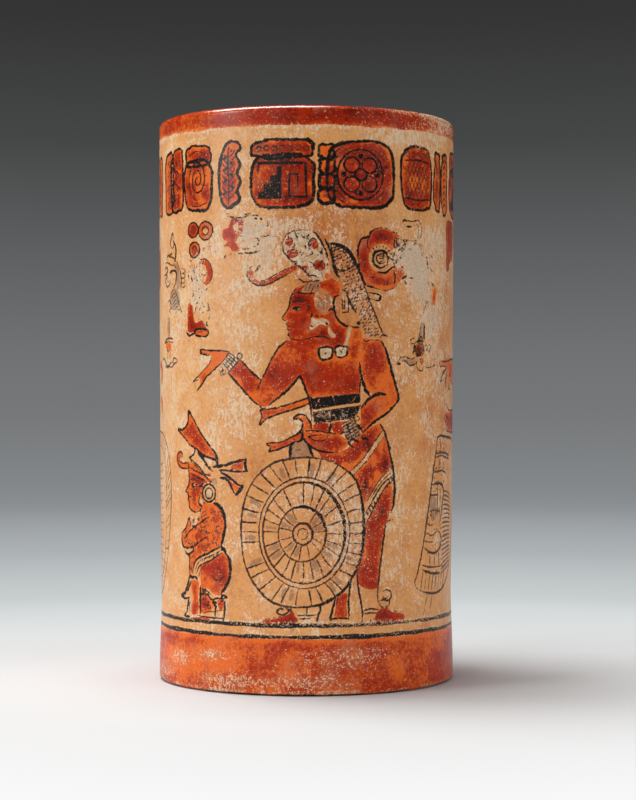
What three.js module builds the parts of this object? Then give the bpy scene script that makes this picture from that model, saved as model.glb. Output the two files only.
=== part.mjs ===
// A tall cylinder vase for a cacao drink, hand built in earthenware from strips of clay.
// A round floor is luted inside a foot strip, seven wall strips climb from it, and a coil finishes the lip.
// Millimetres, +Z up. The origin is the centre of the foot, on the surface that the vase stands on.
import * as THREE from "three";

// Outside of the fired wall
const HEIGHT = 216;
const WAIST_RADIUS = 56.6;
const WAIST_HEIGHT = 34;
const FOOT_SWELL = 0.7;
const MOUTH_SWELL = 0.9;
const FLARE_START = 3;
const FOOT_EDGE_RADIUS = 1.8;

// Thickness of the clay
const WALL_AT_FOOT = 6.8;
const WALL_AT_MOUTH = 5.2;
const FLOOR_THICKNESS = 7.5;
const FLOOR_HOLLOW = 1.2;

// Heights of the strips that the wall is built from
const FOOT_STRIP_TOP = 20.8;
const RIM_COIL_HEIGHT = 7.3;
const WALL_STRIPS = 7;

// Each strip is cut on a slope and luted to the sloping edge of the strip below
const SCARF_DROP = 4;
const JOINT_CLEARANCE = 0.1;
const FINGER_HOLLOW = 0.45;

// Coil pressed into the corner between floor and wall
const CORNER_COIL_LEG = 8;
const CORNER_COIL_TIP = 0.8;

// Rounding of the lip, as heights below the top
const LIP_OUTER_ROUND = 2.2;
const LIP_INNER_ROUND = 2.8;

// Smoothness of the solids
const TURN_STEPS = 64;
const ARC_STEPS = 5;
const OUTER_STEPS = 2;
const HOLLOW_STEPS = 4;
const FLOOR_STEPS = 5;

const RIM_COIL_BOTTOM = HEIGHT - RIM_COIL_HEIGHT;

const { smoothstep, clamp, lerp } = THREE.MathUtils;

// The outside swells a little at the foot, draws in at the waist and opens again, ever less, to the mouth.
function outerRadius(z) {
  const atFoot = 1 - smoothstep(z, FLARE_START, WAIST_HEIGHT);
  const belowMouth = clamp((RIM_COIL_BOTTOM - z) / (RIM_COIL_BOTTOM - WAIST_HEIGHT), 0, 1);
  return WAIST_RADIUS + FOOT_SWELL * atFoot + MOUTH_SWELL * (1 - belowMouth ** 2);
}

// The clay thins evenly from the foot to the lip.
function innerRadius(z) {
  return outerRadius(z) - lerp(WALL_AT_FOOT, WALL_AT_MOUTH, z / HEIGHT);
}

// Evenly spaced heights from one to another, both ends included.
function heights(from, to, steps) {
  return Array.from({ length: steps + 1 }, (_, i) => lerp(from, to, i / steps));
}

// A quarter of an ellipse round [r, z], from one angle to another in degrees.
function arc([r, z], width, height, from, to) {
  return heights(from, to, ARC_STEPS).map((degrees) => {
    const angle = THREE.MathUtils.degToRad(degrees);
    return [r + width * Math.cos(angle), z + height * Math.sin(angle)];
  });
}

// The outside face of a strip, going up.
function outerFace(bottom, top) {
  return heights(bottom, top, OUTER_STEPS).map((z) => [outerRadius(z), z]);
}

// The inside face of a strip, going down. The potter's fingers drew a shallow hollow along its middle.
function innerFace(top, bottom) {
  return heights(top, bottom, HOLLOW_STEPS).map((z, i) => {
    const across = i / HOLLOW_STEPS;
    return [innerRadius(z) + FINGER_HOLLOW * 4 * across * (1 - across), z];
  });
}

// Turns an outline of [radius, height] points once round the vertical axis.
function turned(outline) {
  const points = outline.map(([r, z]) => new THREE.Vector2(r, z));
  return new THREE.LatheGeometry(points, TURN_STEPS).rotateX(Math.PI / 2);
}

// The same for an outline that closes on itself, such as a strip's section.
function turnedRing(outline) {
  return turned([...outline, outline[0]]);
}

// Flat disc with a slightly hollow underside, luted inside the foot strip.
function floorDisc() {
  const rim = innerRadius(0) - JOINT_CLEARANCE;
  const underside = heights(0, rim, FLOOR_STEPS).map((r) => [r, FLOOR_HOLLOW * (1 - (r / rim) ** 2)]);
  const top = innerRadius(FLOOR_THICKNESS) - JOINT_CLEARANCE;
  return turned([...underside, [top, FLOOR_THICKNESS], [0, FLOOR_THICKNESS]]);
}

// Coil smeared into the corner: straight where it meets floor and wall, hollow where a finger ran round it.
function cornerCoil() {
  const floor = FLOOR_THICKNESS + JOINT_CLEARANCE;
  const top = floor + CORNER_COIL_LEG;
  const back = (z) => innerRadius(z) - JOINT_CLEARANCE;
  const sweep = CORNER_COIL_LEG - CORNER_COIL_TIP;
  const centre = [back(top) - CORNER_COIL_TIP - sweep, top];
  const finger = arc(centre, sweep, sweep, 0, -90);
  return turnedRing([[centre[0], floor], [back(floor), floor], [back(top), top], ...finger]);
}

// Lowest strip. It stands on the ground, and the floor is luted inside it.
function footStrip() {
  const edge = outerRadius(FOOT_EDGE_RADIUS) - FOOT_EDGE_RADIUS;
  const corner = arc([edge, FOOT_EDGE_RADIUS], FOOT_EDGE_RADIUS, FOOT_EDGE_RADIUS, -90, 0);
  const flare = heights(FOOT_EDGE_RADIUS, FOOT_STRIP_TOP, 2 * OUTER_STEPS).slice(1);
  const outside = flare.map((z) => [outerRadius(z), z]);
  const inside = [FOOT_STRIP_TOP - SCARF_DROP, FLOOR_THICKNESS, 0].map((z) => [innerRadius(z), z]);
  return turnedRing([...corner, ...outside, ...inside]);
}

// A wall strip between two outside heights. Both its edges slope down towards the inside.
function wallStrip(bottom, top) {
  const seat = bottom + JOINT_CLEARANCE;
  return turnedRing([...outerFace(seat, top), ...innerFace(top - SCARF_DROP, seat - SCARF_DROP)]);
}

// Finishing coil, rounded over to the lip.
function rimCoil() {
  const seat = RIM_COIL_BOTTOM + JOINT_CLEARANCE;
  const outer = HEIGHT - LIP_OUTER_ROUND;
  const inner = HEIGHT - LIP_INNER_ROUND;
  const crest = lerp(innerRadius(HEIGHT), outerRadius(HEIGHT), 0.5);
  const outerArc = arc([crest, outer], outerRadius(outer) - crest, LIP_OUTER_ROUND, 0, 90);
  const innerArc = arc([crest, inner], crest - innerRadius(inner), LIP_INNER_ROUND, 90, 180);
  const throat = [innerRadius(seat - SCARF_DROP), seat - SCARF_DROP];
  return turnedRing([[outerRadius(seat), seat], ...outerArc, ...innerArc.slice(1), throat]);
}

// Painted and bare surfaces
const RED_SLIP = new THREE.MeshStandardMaterial({ color: "#b6482a", roughness: 0.42, metalness: 0 });
const CREAM_SLIP = new THREE.MeshStandardMaterial({ color: "#dba56c", roughness: 0.5, metalness: 0 });
const BARE_CLAY = new THREE.MeshStandardMaterial({ color: "#b5835a", roughness: 0.85, metalness: 0 });

function piece(name, geometry, material) {
  const mesh = new THREE.Mesh(geometry, material);
  mesh.name = name;
  return mesh;
}

const vase = new THREE.Group();
vase.add(piece("floor_disc", floorDisc(), BARE_CLAY));
vase.add(piece("corner_coil", cornerCoil(), BARE_CLAY));
vase.add(piece("foot_strip", footStrip(), RED_SLIP));

const stripEdges = heights(FOOT_STRIP_TOP, RIM_COIL_BOTTOM, WALL_STRIPS);
for (let i = 0; i < WALL_STRIPS; i++) {
  vase.add(piece(`wall_strip_${i + 1}`, wallStrip(stripEdges[i], stripEdges[i + 1]), CREAM_SLIP));
}
vase.add(piece("rim_coil", rimCoil(), RED_SLIP));

export default vase;
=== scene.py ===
import math

import bpy
import numpy as np
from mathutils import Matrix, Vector


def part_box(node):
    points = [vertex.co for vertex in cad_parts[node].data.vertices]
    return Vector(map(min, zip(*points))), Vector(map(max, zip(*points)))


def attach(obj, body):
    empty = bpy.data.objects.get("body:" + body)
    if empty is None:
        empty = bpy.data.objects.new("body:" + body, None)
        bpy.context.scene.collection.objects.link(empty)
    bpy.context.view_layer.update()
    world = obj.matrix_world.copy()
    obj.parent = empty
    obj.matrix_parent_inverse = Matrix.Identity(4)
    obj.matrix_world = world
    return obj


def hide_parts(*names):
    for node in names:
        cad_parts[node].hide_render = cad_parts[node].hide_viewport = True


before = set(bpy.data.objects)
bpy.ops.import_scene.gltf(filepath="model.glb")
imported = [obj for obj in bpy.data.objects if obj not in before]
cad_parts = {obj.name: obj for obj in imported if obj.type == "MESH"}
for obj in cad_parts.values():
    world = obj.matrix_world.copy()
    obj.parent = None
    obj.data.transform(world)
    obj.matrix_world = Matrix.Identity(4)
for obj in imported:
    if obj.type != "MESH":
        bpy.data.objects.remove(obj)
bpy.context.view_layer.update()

# Sizes in millimetres, taken from model.glb where it holds them
MM = 0.001


def node_heights(node):
    """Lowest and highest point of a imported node, in millimetres."""
    low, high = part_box(node)
    return low.z / MM, high.z / MM


WALL_STRIPS = ["wall_strip_%d" % n for n in range(1, 8)]
HEIGHT = node_heights("rim_coil")[1]
FOOT_TOP = node_heights("foot_strip")[1]
RIM_BOTTOM = node_heights("wall_strip_7")[1]
WAIST_RADIUS = 56.6
WAIST_HEIGHT = 34
FOOT_SWELL = 0.7
MOUTH_SWELL = 0.9
FLARE_START = 3
FOOT_EDGE_RADIUS = 1.8
WALL_AT_FOOT = 6.8
WALL_AT_MOUTH = 5.2
FLOOR_THICKNESS = 7.5
FLOOR_HOLLOW = 1.2
SCARF_DROP = 4
FINGER_HOLLOW = 0.45
CORNER_COIL_LEG = 8
CORNER_COIL_TIP = 0.8
LIP_OUTER_ROUND = 2.2
LIP_INNER_ROUND = 2.8

# Fineness of the visible meshes: the painting needs a point every third of a millimetre
COLUMNS = 1000
ROW_SPACING = 0.36
PLAIN_ROW_SPACING = 0.8
FOOT_EDGE_SPACING = 0.2
FOOT_EDGE_TOP = 3
LIP_ROW_SPACING = 0.6
INSIDE_ROWS = 12
ARC_ROWS = 8
PLAIN_COLUMNS = 240
FOOT_INNER_STEP = 12
FLOOR_RINGS = 40
FLOOR_CLEARANCE = 0.02
PIN_HOLE = 0.01


def smoothstep(x, low, high):
    t = np.clip((x - low) / (high - low), 0, 1)
    return t * t * (3 - 2 * t)


def outer_radius(z):
    at_foot = 1 - smoothstep(z, FLARE_START, WAIST_HEIGHT)
    below_mouth = np.clip((RIM_BOTTOM - z) / (RIM_BOTTOM - WAIST_HEIGHT), 0, 1)
    return WAIST_RADIUS + FOOT_SWELL * at_foot + MOUTH_SWELL * (1 - below_mouth**2)


def inner_radius(z):
    return outer_radius(z) - (WALL_AT_FOOT + (WALL_AT_MOUTH - WALL_AT_FOOT) * z / HEIGHT)


# Painting tools. The outside of the wall is unrolled: u is millimetres to the right of the front, v is height
PAINT_RADIUS = 57.1
ROUND = 2 * math.pi * PAINT_RADIUS
COLUMN_STEP = ROUND / COLUMNS
REACH = 1.6
INSIDE_RED = 9.5
INSIDE_CANVAS = 8
STANDING_EDGE = 1.3
STANDING_EDGE_WEAR = 0.7
EDGES = ("ink", "red", "pale", "wash")
TONES = ("ink_tone", "red_tone", "ground_tone", "worn")


def spaced(low, high, spacing):
    return np.linspace(low, high, max(2, int(round((high - low) / spacing)) + 1))


def strip_edges():
    return np.linspace(FOOT_TOP, RIM_BOTTOM, len(WALL_STRIPS) + 1)


def canvas_rows():
    """Heights of every painted row, from the foot over the lip."""
    rows = [spaced(0, FOOT_EDGE_TOP, FOOT_EDGE_SPACING), spaced(FOOT_EDGE_TOP, FOOT_TOP, PLAIN_ROW_SPACING)]
    edges = strip_edges()
    rows += [spaced(a, b, ROW_SPACING) for a, b in zip(edges[:-1], edges[1:])]
    rows += [spaced(RIM_BOTTOM, HEIGHT + INSIDE_RED + INSIDE_CANVAS, ROW_SPACING)]
    return np.unique(np.round(np.concatenate(rows), 4))


ROWS = canvas_rows()
paint = {name: np.full((len(ROWS), COLUMNS), REACH) for name in EDGES}
paint.update({name: np.zeros((len(ROWS), COLUMNS)) for name in TONES})
hand = np.random.default_rng(11)


def places(drawn):
    """A list of places from text such as "3,4.5 6,7"."""
    return [tuple(float(number) for number in place.split(",")) for place in drawn.split()]


def curved(points, loop=False):
    """A smooth line through a few points, with a step of about half a millimetre."""
    p = np.array(points, float)
    if loop:
        p = np.vstack([p[-1], p, p[0], p[1]])
    else:
        p = np.vstack([2 * p[0] - p[1], p, 2 * p[-1] - p[-2]])
    out = []
    for a, b, c, d in zip(p[:-3], p[1:-2], p[2:-1], p[3:]):
        steps = max(2, min(14, int(np.hypot(*(c - b)) / 0.6)))
        t = np.linspace(0, 1, steps, endpoint=False)[:, None]
        out.append(0.5 * (2 * b + (c - a) * t + (2 * a - 5 * b + 4 * c - d) * t**2
                          + (3 * b - a - 3 * c + d) * t**3))
    out.append(p[-2][None])
    return np.vstack(out)


def window(points, margin):
    """The rows and columns of the painting round some points, and their places."""
    low, high = points.min(0) - margin, points.max(0) + margin
    left, right = (low[0] + ROUND / 2) / COLUMN_STEP, (high[0] + ROUND / 2) / COLUMN_STEP
    columns = np.arange(math.floor(left), math.ceil(right))
    rows = np.arange(*np.searchsorted(ROWS, (low[1], high[1])))
    cells = np.ix_(rows, columns % COLUMNS)
    return cells, (columns * COLUMN_STEP - ROUND / 2)[None, :], ROWS[rows][:, None]


def distance(points, u, v, halves=None):
    """Distance in millimetres from every cell to a line, less half the line's width."""
    nearest = np.full(np.broadcast(u, v).shape, 99.0)
    halves = np.zeros(len(points)) if halves is None else halves
    for p, q, a, b in zip(points[:-1], points[1:], halves[:-1], halves[1:]):
        du, dv = q - p
        t = np.clip(((u - p[0]) * du + (v - p[1]) * dv) / max(du * du + dv * dv, 1e-9), 0, 1)
        nearest = np.minimum(nearest, np.hypot(u - p[0] - t * du, v - p[1] - t * dv) - (a + (b - a) * t))
    return nearest


def inside_of(points, u, v):
    """True where a cell lies inside a closed outline."""
    inside = np.zeros(np.broadcast(u, v).shape, bool)
    for p, q in zip(points, np.roll(points, -1, 0)):
        if p[1] != q[1]:
            crossing = (q[0] - p[0]) * (v - p[1]) / (q[1] - p[1]) + p[0]
            inside ^= ((p[1] > v) != (q[1] > v)) & (u < crossing)
    return inside


def round_line(centre, across, degrees):
    """Places round a centre. Across is its reach, or its reach sideways and upwards."""
    angles = np.radians(degrees)
    a, b = np.broadcast_to(across, 2)
    return np.stack([centre[0] + a * np.cos(angles), centre[1] + b * np.sin(angles)], 1)


class Brush:
    """Paints with points in the drawing's own millimetres, set down somewhere on the wall."""

    # What the words of a table can name, and where a named layer goes if not into "layer"
    tools = ("strokes", "area", "shape", "bare", "ring", "disc", "dot", "tint", "scatter", "mottle")
    round_tools = ("ring", "disc", "dot", "tint")
    layer_goes = {"bare": "layers", "tint": "name"}

    def __init__(self, at=(0, 0), flip=False, line_size=1.0):
        self.at = at
        self.sides = (-1 if flip else 1, 1)
        self.line_size = line_size

    def put(self, points):
        points = places(points) if isinstance(points, str) else points
        return np.array(points, float) * self.sides + self.at

    def draw(self, table, bolder=1):
        """Paints the rows of a table, with a semicolon between them. A row starts with a tool, or none for
        a line, and its sizes and settings. After a colon come the marks, with a slash between them. A mark
        is a list of places, and for the round tools a place, the reach each way and the other sizes. The
        width given for a line is multiplied by bolder."""
        for row in table.split(";"):
            head, marks = row.split(":")
            words = head.split()
            tool = words.pop(0) if words and words[0] in self.tools else "line"
            settings = {w.split("=")[0]: float(w.split("=")[1]) for w in words if "=" in w}
            layers = [w for w in words if w in paint]
            if layers:
                settings[self.layer_goes.get(tool, "layer")] = layers if tool == "bare" else layers[0]
            sizes = [float(w) for w in words if w not in paint and "=" not in w]
            if tool == "line" and sizes:
                sizes[0] *= bolder
            for mark in marks.split("/"):
                points = places(" ".join(w for w in mark.split() if "," in w))
                if tool in self.round_tools:
                    sizes = [float(w) for w in mark.split() if "," not in w]
                    getattr(self, tool)(*points, *sizes, **settings)
                else:
                    getattr(self, tool)(points, *sizes, **settings)

    def line(self, points, width=0.7, faint=0.0, layer="ink", loop=False, ends=0.55, curve=True):
        """A brush line that thins to its ends and swells a little on the way."""
        path = self.put(points)
        path = curved(path, loop) if curve else np.vstack([path, path[:1]]) if loop else path
        count = len(path)
        travel = np.linspace(0, 1, count)
        swell = 1 + 0.16 * np.sin(travel * count / 9 + hand.uniform(0, 6.3)) + hand.normal(0, 0.13, count)
        if curve:
            path = path + hand.normal(0, 0.09, path.shape) * min(1, width)
            path[-1] = path[0] if loop else path[-1]
        taper = 1 if loop else ends + (1 - ends) * np.minimum(1, 6 * np.minimum(travel, 1 - travel))
        halves = 0.5 * width * self.line_size * swell * taper
        cells, u, v = window(path, width + REACH)
        d = distance(path, u, v, halves)
        paint[layer][cells] = np.minimum(paint[layer][cells], d)
        if layer == "ink":
            close = np.clip(1 - d / 0.8, 0, 1)
            paint["ink_tone"][cells] += (faint - paint["ink_tone"][cells]) * close

    def strokes(self, points, width=0.7, faint=0.0, layer="ink"):
        """A short brush stroke, blunter than a line."""
        self.line(points, width, faint, layer, ends=0.75)

    def depth(self, outline, curve):
        """The cells round an outline, and how far each lies outside it. Inside, the distance is negative."""
        path = self.put(outline)
        path = curved(path, True) if curve else np.vstack([path, path[:1]])
        cells, u, v = window(path, REACH)
        return cells, distance(path, u, v) * np.where(inside_of(path, u, v), -1, 1)

    def area(self, outline, tone=0.0, layer="red", curve=True):
        """A filled area, red if no other layer is named."""
        cells, d = self.depth(outline, curve)
        paint[layer][cells] = np.minimum(paint[layer][cells], d)
        if layer == "red":
            close = np.clip(1 - d / 0.7, 0, 1)
            paint["red_tone"][cells] += (tone - paint["red_tone"][cells]) * close

    def shape(self, outline, tone=0.0, width=0.9, faint=0.0, curve=True):
        """Red paint with a black outline."""
        self.area(outline, tone, curve=curve)
        self.line(outline, width, faint, loop=True, curve=curve)

    def bare(self, outline, layers=EDGES, curve=True):
        """Leaves an area unpainted, as where one thing stands in front of another."""
        cells, d = self.depth(outline, curve)
        for layer in layers:
            paint[layer][cells] = np.maximum(paint[layer][cells], -d)

    def ring(self, centre, across, width=0.6, faint=0.0, start=0, turn=360, layer="ink"):
        """A hand-drawn round or oval line, or a part of one."""
        points = round_line(centre, across, start + np.linspace(0, turn, max(6, int(turn / 18)) + 1))
        whole = turn >= 360
        self.line(points[:-1] if whole else points, width, faint, layer, whole)

    def disc(self, centre, across, tone=0.0, layer="red"):
        self.area(round_line(centre, across, np.arange(0, 360, 45)), tone, layer)

    def dot(self, at, across=0.9, faint=0.0, layer="ink"):
        u, v = at
        self.line([(u - 0.05, v), (u + 0.05, v)], across, faint, layer, ends=1)

    def inner_places(self, outline, count):
        """Places here and there inside an outline, one after the other."""
        corners = np.array(outline)
        for at in hand.uniform(corners.min(0), corners.max(0), (int(count), 2)):
            if inside_of(corners, at[0], at[1]).item():
                yield at

    def scatter(self, outline, count, length, width, faint):
        """Short marks here and there inside an outline, as a worn drawing leaves."""
        for at in self.inner_places(outline, count):
            angle = hand.uniform(0, math.pi)
            reach = np.array([math.cos(angle), math.sin(angle)]) * length * hand.uniform(0.3, 1)
            self.line([at - reach, at + reach], width, faint)

    def mottle(self, outline, count, across, amount):
        """Small blotches of thicker and thinner paint inside an outline."""
        for at in self.inner_places(outline, count):
            self.tint(at, across * hand.uniform(0.5, 1.2), hand.uniform(-amount, amount))

    def tint(self, centre, across, amount, name="red_tone"):
        """Adds to a tone softly round a place."""
        middle = self.put([centre])
        a, b = np.broadcast_to(across, 2)
        cells, u, v = window(middle, 2 * max(a, b))
        d = np.hypot((u - middle[0, 0]) / a, (v - middle[0, 1]) / b)
        paint[name][cells] += amount * np.exp(-(d**2))


def wander(amount, waves, seed):
    """A slow hand-drawn unevenness round the vase."""
    turn = np.arange(COLUMNS) / COLUMNS * 2 * math.pi
    phases = np.random.default_rng(seed).uniform(0, 2 * math.pi, len(waves))
    return amount * sum(np.sin(n * turn + p) for n, p in zip(waves, phases)) / math.sqrt(len(waves))


def band(layer, low, high, amount=0.3, seed=1, tone=None):
    """A painted band all round the vase."""
    bottom = low + wander(amount, (2, 5, 9, 17, 31), seed)
    top = high + wander(amount, (3, 4, 11, 19, 37), seed + 1)
    v = ROWS[:, None]
    d = np.maximum(bottom[None, :] - v, v - top[None, :])
    near = d < paint[layer]
    paint[layer] = np.minimum(paint[layer], d)
    if tone is not None:
        paint["red_tone"][near & (d < 1)] = tone


def paint_bands():
    band("red", -5, 20.9, 0.15, 3, -0.5)
    band("red", 208.5, HEIGHT + INSIDE_RED, 0.3, 5, 0.1)
    band("ink", 20.9, 22.4, 0.2, 7)
    band("ink", 25.1, 26.6, 0.2, 9)
    # The ink band below 0.75 mm is a painted contact shadow: a dark line where the foot meets the floor
    band("ink", -5, 0.75, 0.15, 13)
    b = Brush()
    # The ink tones at height 0 turn parts of that painted contact shadow brown
    b.draw("""
tint ink_tone: -40,24.6 50,4 0.4 / 50,24.6 40,4 0.5 / -60,0 40,1.2 0.5 / 30,0 60,1.2 0.4 / 130,0 60,1.2 0.6 /
36,22 20,2 0.5 / 30,26 24,2 0.7 / -50,26 16,2 0.4 / -20,22 12,2 0.4 / 120,24 40,4 0.5 / -130,24 30,4 0.4;
tint: -52,9 14,5 -0.7 / -30,11 10,4 -0.3 / -66,18 20,3 0.4 / 24,17 10,5 0.35 / -10,16 8,4 0.3 / 150,10 40,8
-0.2 / -140,12 30,8 0.2 / 18,213 16,6 0.7 / -10,212 14,5 0.35 / -62,212 22,6 -0.45 / 46,212 12,5 0.15 /
72,214 20,4 -0.6 / 0,20.6 300,1.3 0.7""")


def pillow(b, left, right, low, high, tone, width=1.3):
    """A rounded block, outlined by hand, with mottled red in it."""
    angles = np.radians(np.arange(0, 360, 20))
    c, s = np.cos(angles), np.sin(angles)
    u = (left + right) / 2 + (right - left) / 2 * np.sign(c) * np.abs(c) ** 0.55
    v = (low + high) / 2 + (high - low) / 2 * np.sign(s) * np.abs(s) ** 0.55
    b.shape(np.stack([u, v], 1) + hand.uniform(-0.5, 0.5, (len(angles), 2)), tone, width, 0.25)
    for k in range(int((right - left) * (high - low) / 13)):
        b.tint((hand.uniform(left, right), hand.uniform(low, high)), hand.uniform(0.6, 2.2, 2),
               hand.uniform(-1.7, 1.3))


def chevron_bars(b):
    """Two narrow bars, one plain and one filled with chevrons."""
    pillow(b, 0.3, 5, 1.2, 23.4, -0.1, 1.1)
    pillow(b, 6.3, 12.2, 0.8, 23.8, -0.4, 1.2)
    b.draw("strokes 0.5 0.3: 2.2,20.8 1.9,15 2.5,9 2.1,3.6 / 3.6,18 3.5,13.6 / 3.4,10 3.6,6")
    for v in np.arange(3.2, 20, 2.4):
        b.line([(7.6, v), (9.3, v + 1.5), (11, v + 0.1)], 0.6, 0.2)


def plaited_block(b):
    """A block with a plait of two strands."""
    pillow(b, 0.4, 8.6, 0.6, 24, -0.3, 1.2)
    pillow(b, 6.6, 16, 1, 24.6, 0, 1.2)
    climb = np.arange(2.2, 22.6, 0.9)
    for side in (-1, 1):
        for strand in (-0.9, 0.9):
            sway = 8.2 + side * 3.5 * np.sin((climb - 2.2) * math.pi / 5.1) + strand
            b.line(np.stack([sway, climb], 1), 0.6, 0.15)
    for k in range(4):
        b.dot((8.2, 4.8 + 5.1 * k), 1.4)
        b.line([(2.2, 4.6 + 5.1 * k), (3.6, 5.2 + 5.1 * k)], 0.6, 0.2)
        b.line([(12.8, 5.2 + 5.1 * k), (14.3, 4.6 + 5.1 * k)], 0.6, 0.2)


def shell_block(b):
    """A block with a coiled shell and its ribs."""
    pillow(b, 1, 14.6, 17.2, 24.8, 0.2, 1.1)
    pillow(b, 0.4, 15, 0.7, 19.6, -0.3)
    turn = np.linspace(0.6, 5.6 * math.pi, 40)
    b.line(np.stack([7.8 + 0.3 * turn * np.cos(turn), 12.2 + 0.44 * turn * np.sin(turn)], 1), 0.75, 0.1)
    for angle in np.arange(0.2, 6.2, 0.52):
        c, s = math.cos(angle), math.sin(angle)
        b.line([(7.8 + 3.9 * c, 12.2 + 5.8 * s), (7.8 + 5 * c, 12.2 + 7.4 * s)], 0.5, 0.3)
    b.draw("strokes 0.55 0.25: 3,21.6 7.6,22.8 12.4,21.4 / 3.2,3 7.6,2.2 12,3.2")


def leaf_bar(b):
    """A tall leaf with slanting veins."""
    b.draw("""
shape -0.3 1.3: 4.9,0.8 2.2,3 1,8 0.8,14 1.9,20 4.4,24.6 8.4,25 10,22.6 8,20.4 9.8,17 8.6,13.6 10,10 8.6,7.4
9.6,4 7.4,2;
0.7 0.1: 5,23.4 4.7,16 5.1,9 4.9,2""")
    for k, v in enumerate(np.arange(4, 19.5, 2.2)):
        for side in (-1, 1):
            b.line([(4.9, v), (4.9 + side * 1.6, v + 1.1), (4.9 + side * 2.9, v + 2.7)], 0.55, 0.2)
        b.dot((6.3 if k % 2 else 3.5, v + 2.3), 1.1, 0.1)


def fret_block(b):
    """A block with a stepped fret, smudged and darker than the rest."""
    pillow(b, 0.6, 23.4, 18.4, 25.2, 0.2)
    pillow(b, 0.3, 23.8, 0.6, 19.8, 0.45)
    b.draw("""
area ink curve=0: 2.8,3.6 2.9,6.4 4.9,6.5 5,9.4 7.4,9.5 7.5,12.4 9.9,12.5 10,15.6 12,15.5 12.1,3.4;
tint ink_tone: 7.5,8 6,6 1.1;
tint worn: 7.5,9 6,7 0.3;
0.9 0.15 curve=0: 3,13 3.4,16.8 20.6,16.6 20.9,4.2 14.6,4.3 14.7,12.6 17.9,12.5 17.8,7.6;
scatter 9 0.7 0.45 0.5: 2,12 8,12 10,18 2,17""")
    for k in range(7):
        b.ring((3.4 + 2.9 * k, 22 + 0.2 * (k % 2)), (1, 0.9), 0.5, 0.3)


def flower_block(b):
    """A large block with a flower of four pale petals in a ring."""
    for v in (4.6, 10, 15.6, 20.8):
        pillow(b, -1.2, 4.4, v - 2.6, v + 2.6, -0.2, 1.2)
    pillow(b, 1.6, 28.6, 0.6, 25, 0.35, 1.35)
    b.ring((14.4, 12.7), (9, 9.2), 0.9)
    for k in range(4):
        angle = math.radians(45 + 90 * k)
        at = (14.4 + 4.9 * math.cos(angle), 12.7 + 4.9 * math.sin(angle))
        b.disc(at, (2.9, 2.7), layer="pale")
        b.ring(at, (3, 2.8), 0.85)
        b.line([(at[0] - 1.2, at[1]), at, (at[0] + 1, at[1] + 0.9)], 0.5, 0.2)
        tip = (14.4 + 6.6 * math.sin(angle - 0.785), 12.7 + 6.8 * math.cos(angle - 0.785))
        b.disc(tip, 1.1, layer="ink")
    b.draw("""
disc: 14.4,12.7 2.2,2.2 0.9;
ring: 14.4,12.7 2.3,2.2 0.9""")
    for start in (28, 118, 208, 298):
        for reach in (10.6, 12.1):
            b.ring((14.4, 12.7), (reach * 1.06, reach * 0.98), 0.55, 0.25, start, 34)


def netted_block(b):
    """A block of crossed net between two borders of loops."""
    pillow(b, 0.4, 17.4, 0.7, 24.2, 0.2, 1.15)
    for k in range(-4, 7):
        for low, high in ((2.4 + 2 * k, 9 + 2 * k), (9 + 2 * k, 2.4 + 2 * k)):
            rise = np.linspace(5.6, 18.8, 12)
            across = np.linspace(low, high, 12)
            seen = (across > 2.2) & (across < 15.8)
            if seen.sum() > 2:
                b.line(np.stack([across, rise], 1)[seen], 0.45, 0.3)
    b.draw("strokes 0.75 0.15: 2,5.2 9,4.8 15.8,5.3 / 2.2,19.2 9,19.6 15.6,19")
    for k in range(5):
        b.ring((3.6 + 2.7 * k, 21.6), (0.9, 0.9), 0.45, 0.3)
        b.dot((3.8 + 2.6 * k, 3), 0.8, 0.2)


def paint_blocks():
    """A row of rounded ornaments all round under the rim."""
    row = ((chevron_bars, -85.5), (plaited_block, -69), (shell_block, -52.2), (leaf_bar, -34.4),
           (fret_block, -20.6), (flower_block, 6.2), (netted_block, 37.6), (chevron_bars, 56.8),
           (fret_block, 72), (plaited_block, 99.5), (flower_block, 118), (leaf_bar, 149.5),
           (netted_block, 161.5), (shell_block, 182), (fret_block, 200), (chevron_bars, 227),
           (flower_block, 242))
    for block, left in row:
        block(Brush((left, 178)))


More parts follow.
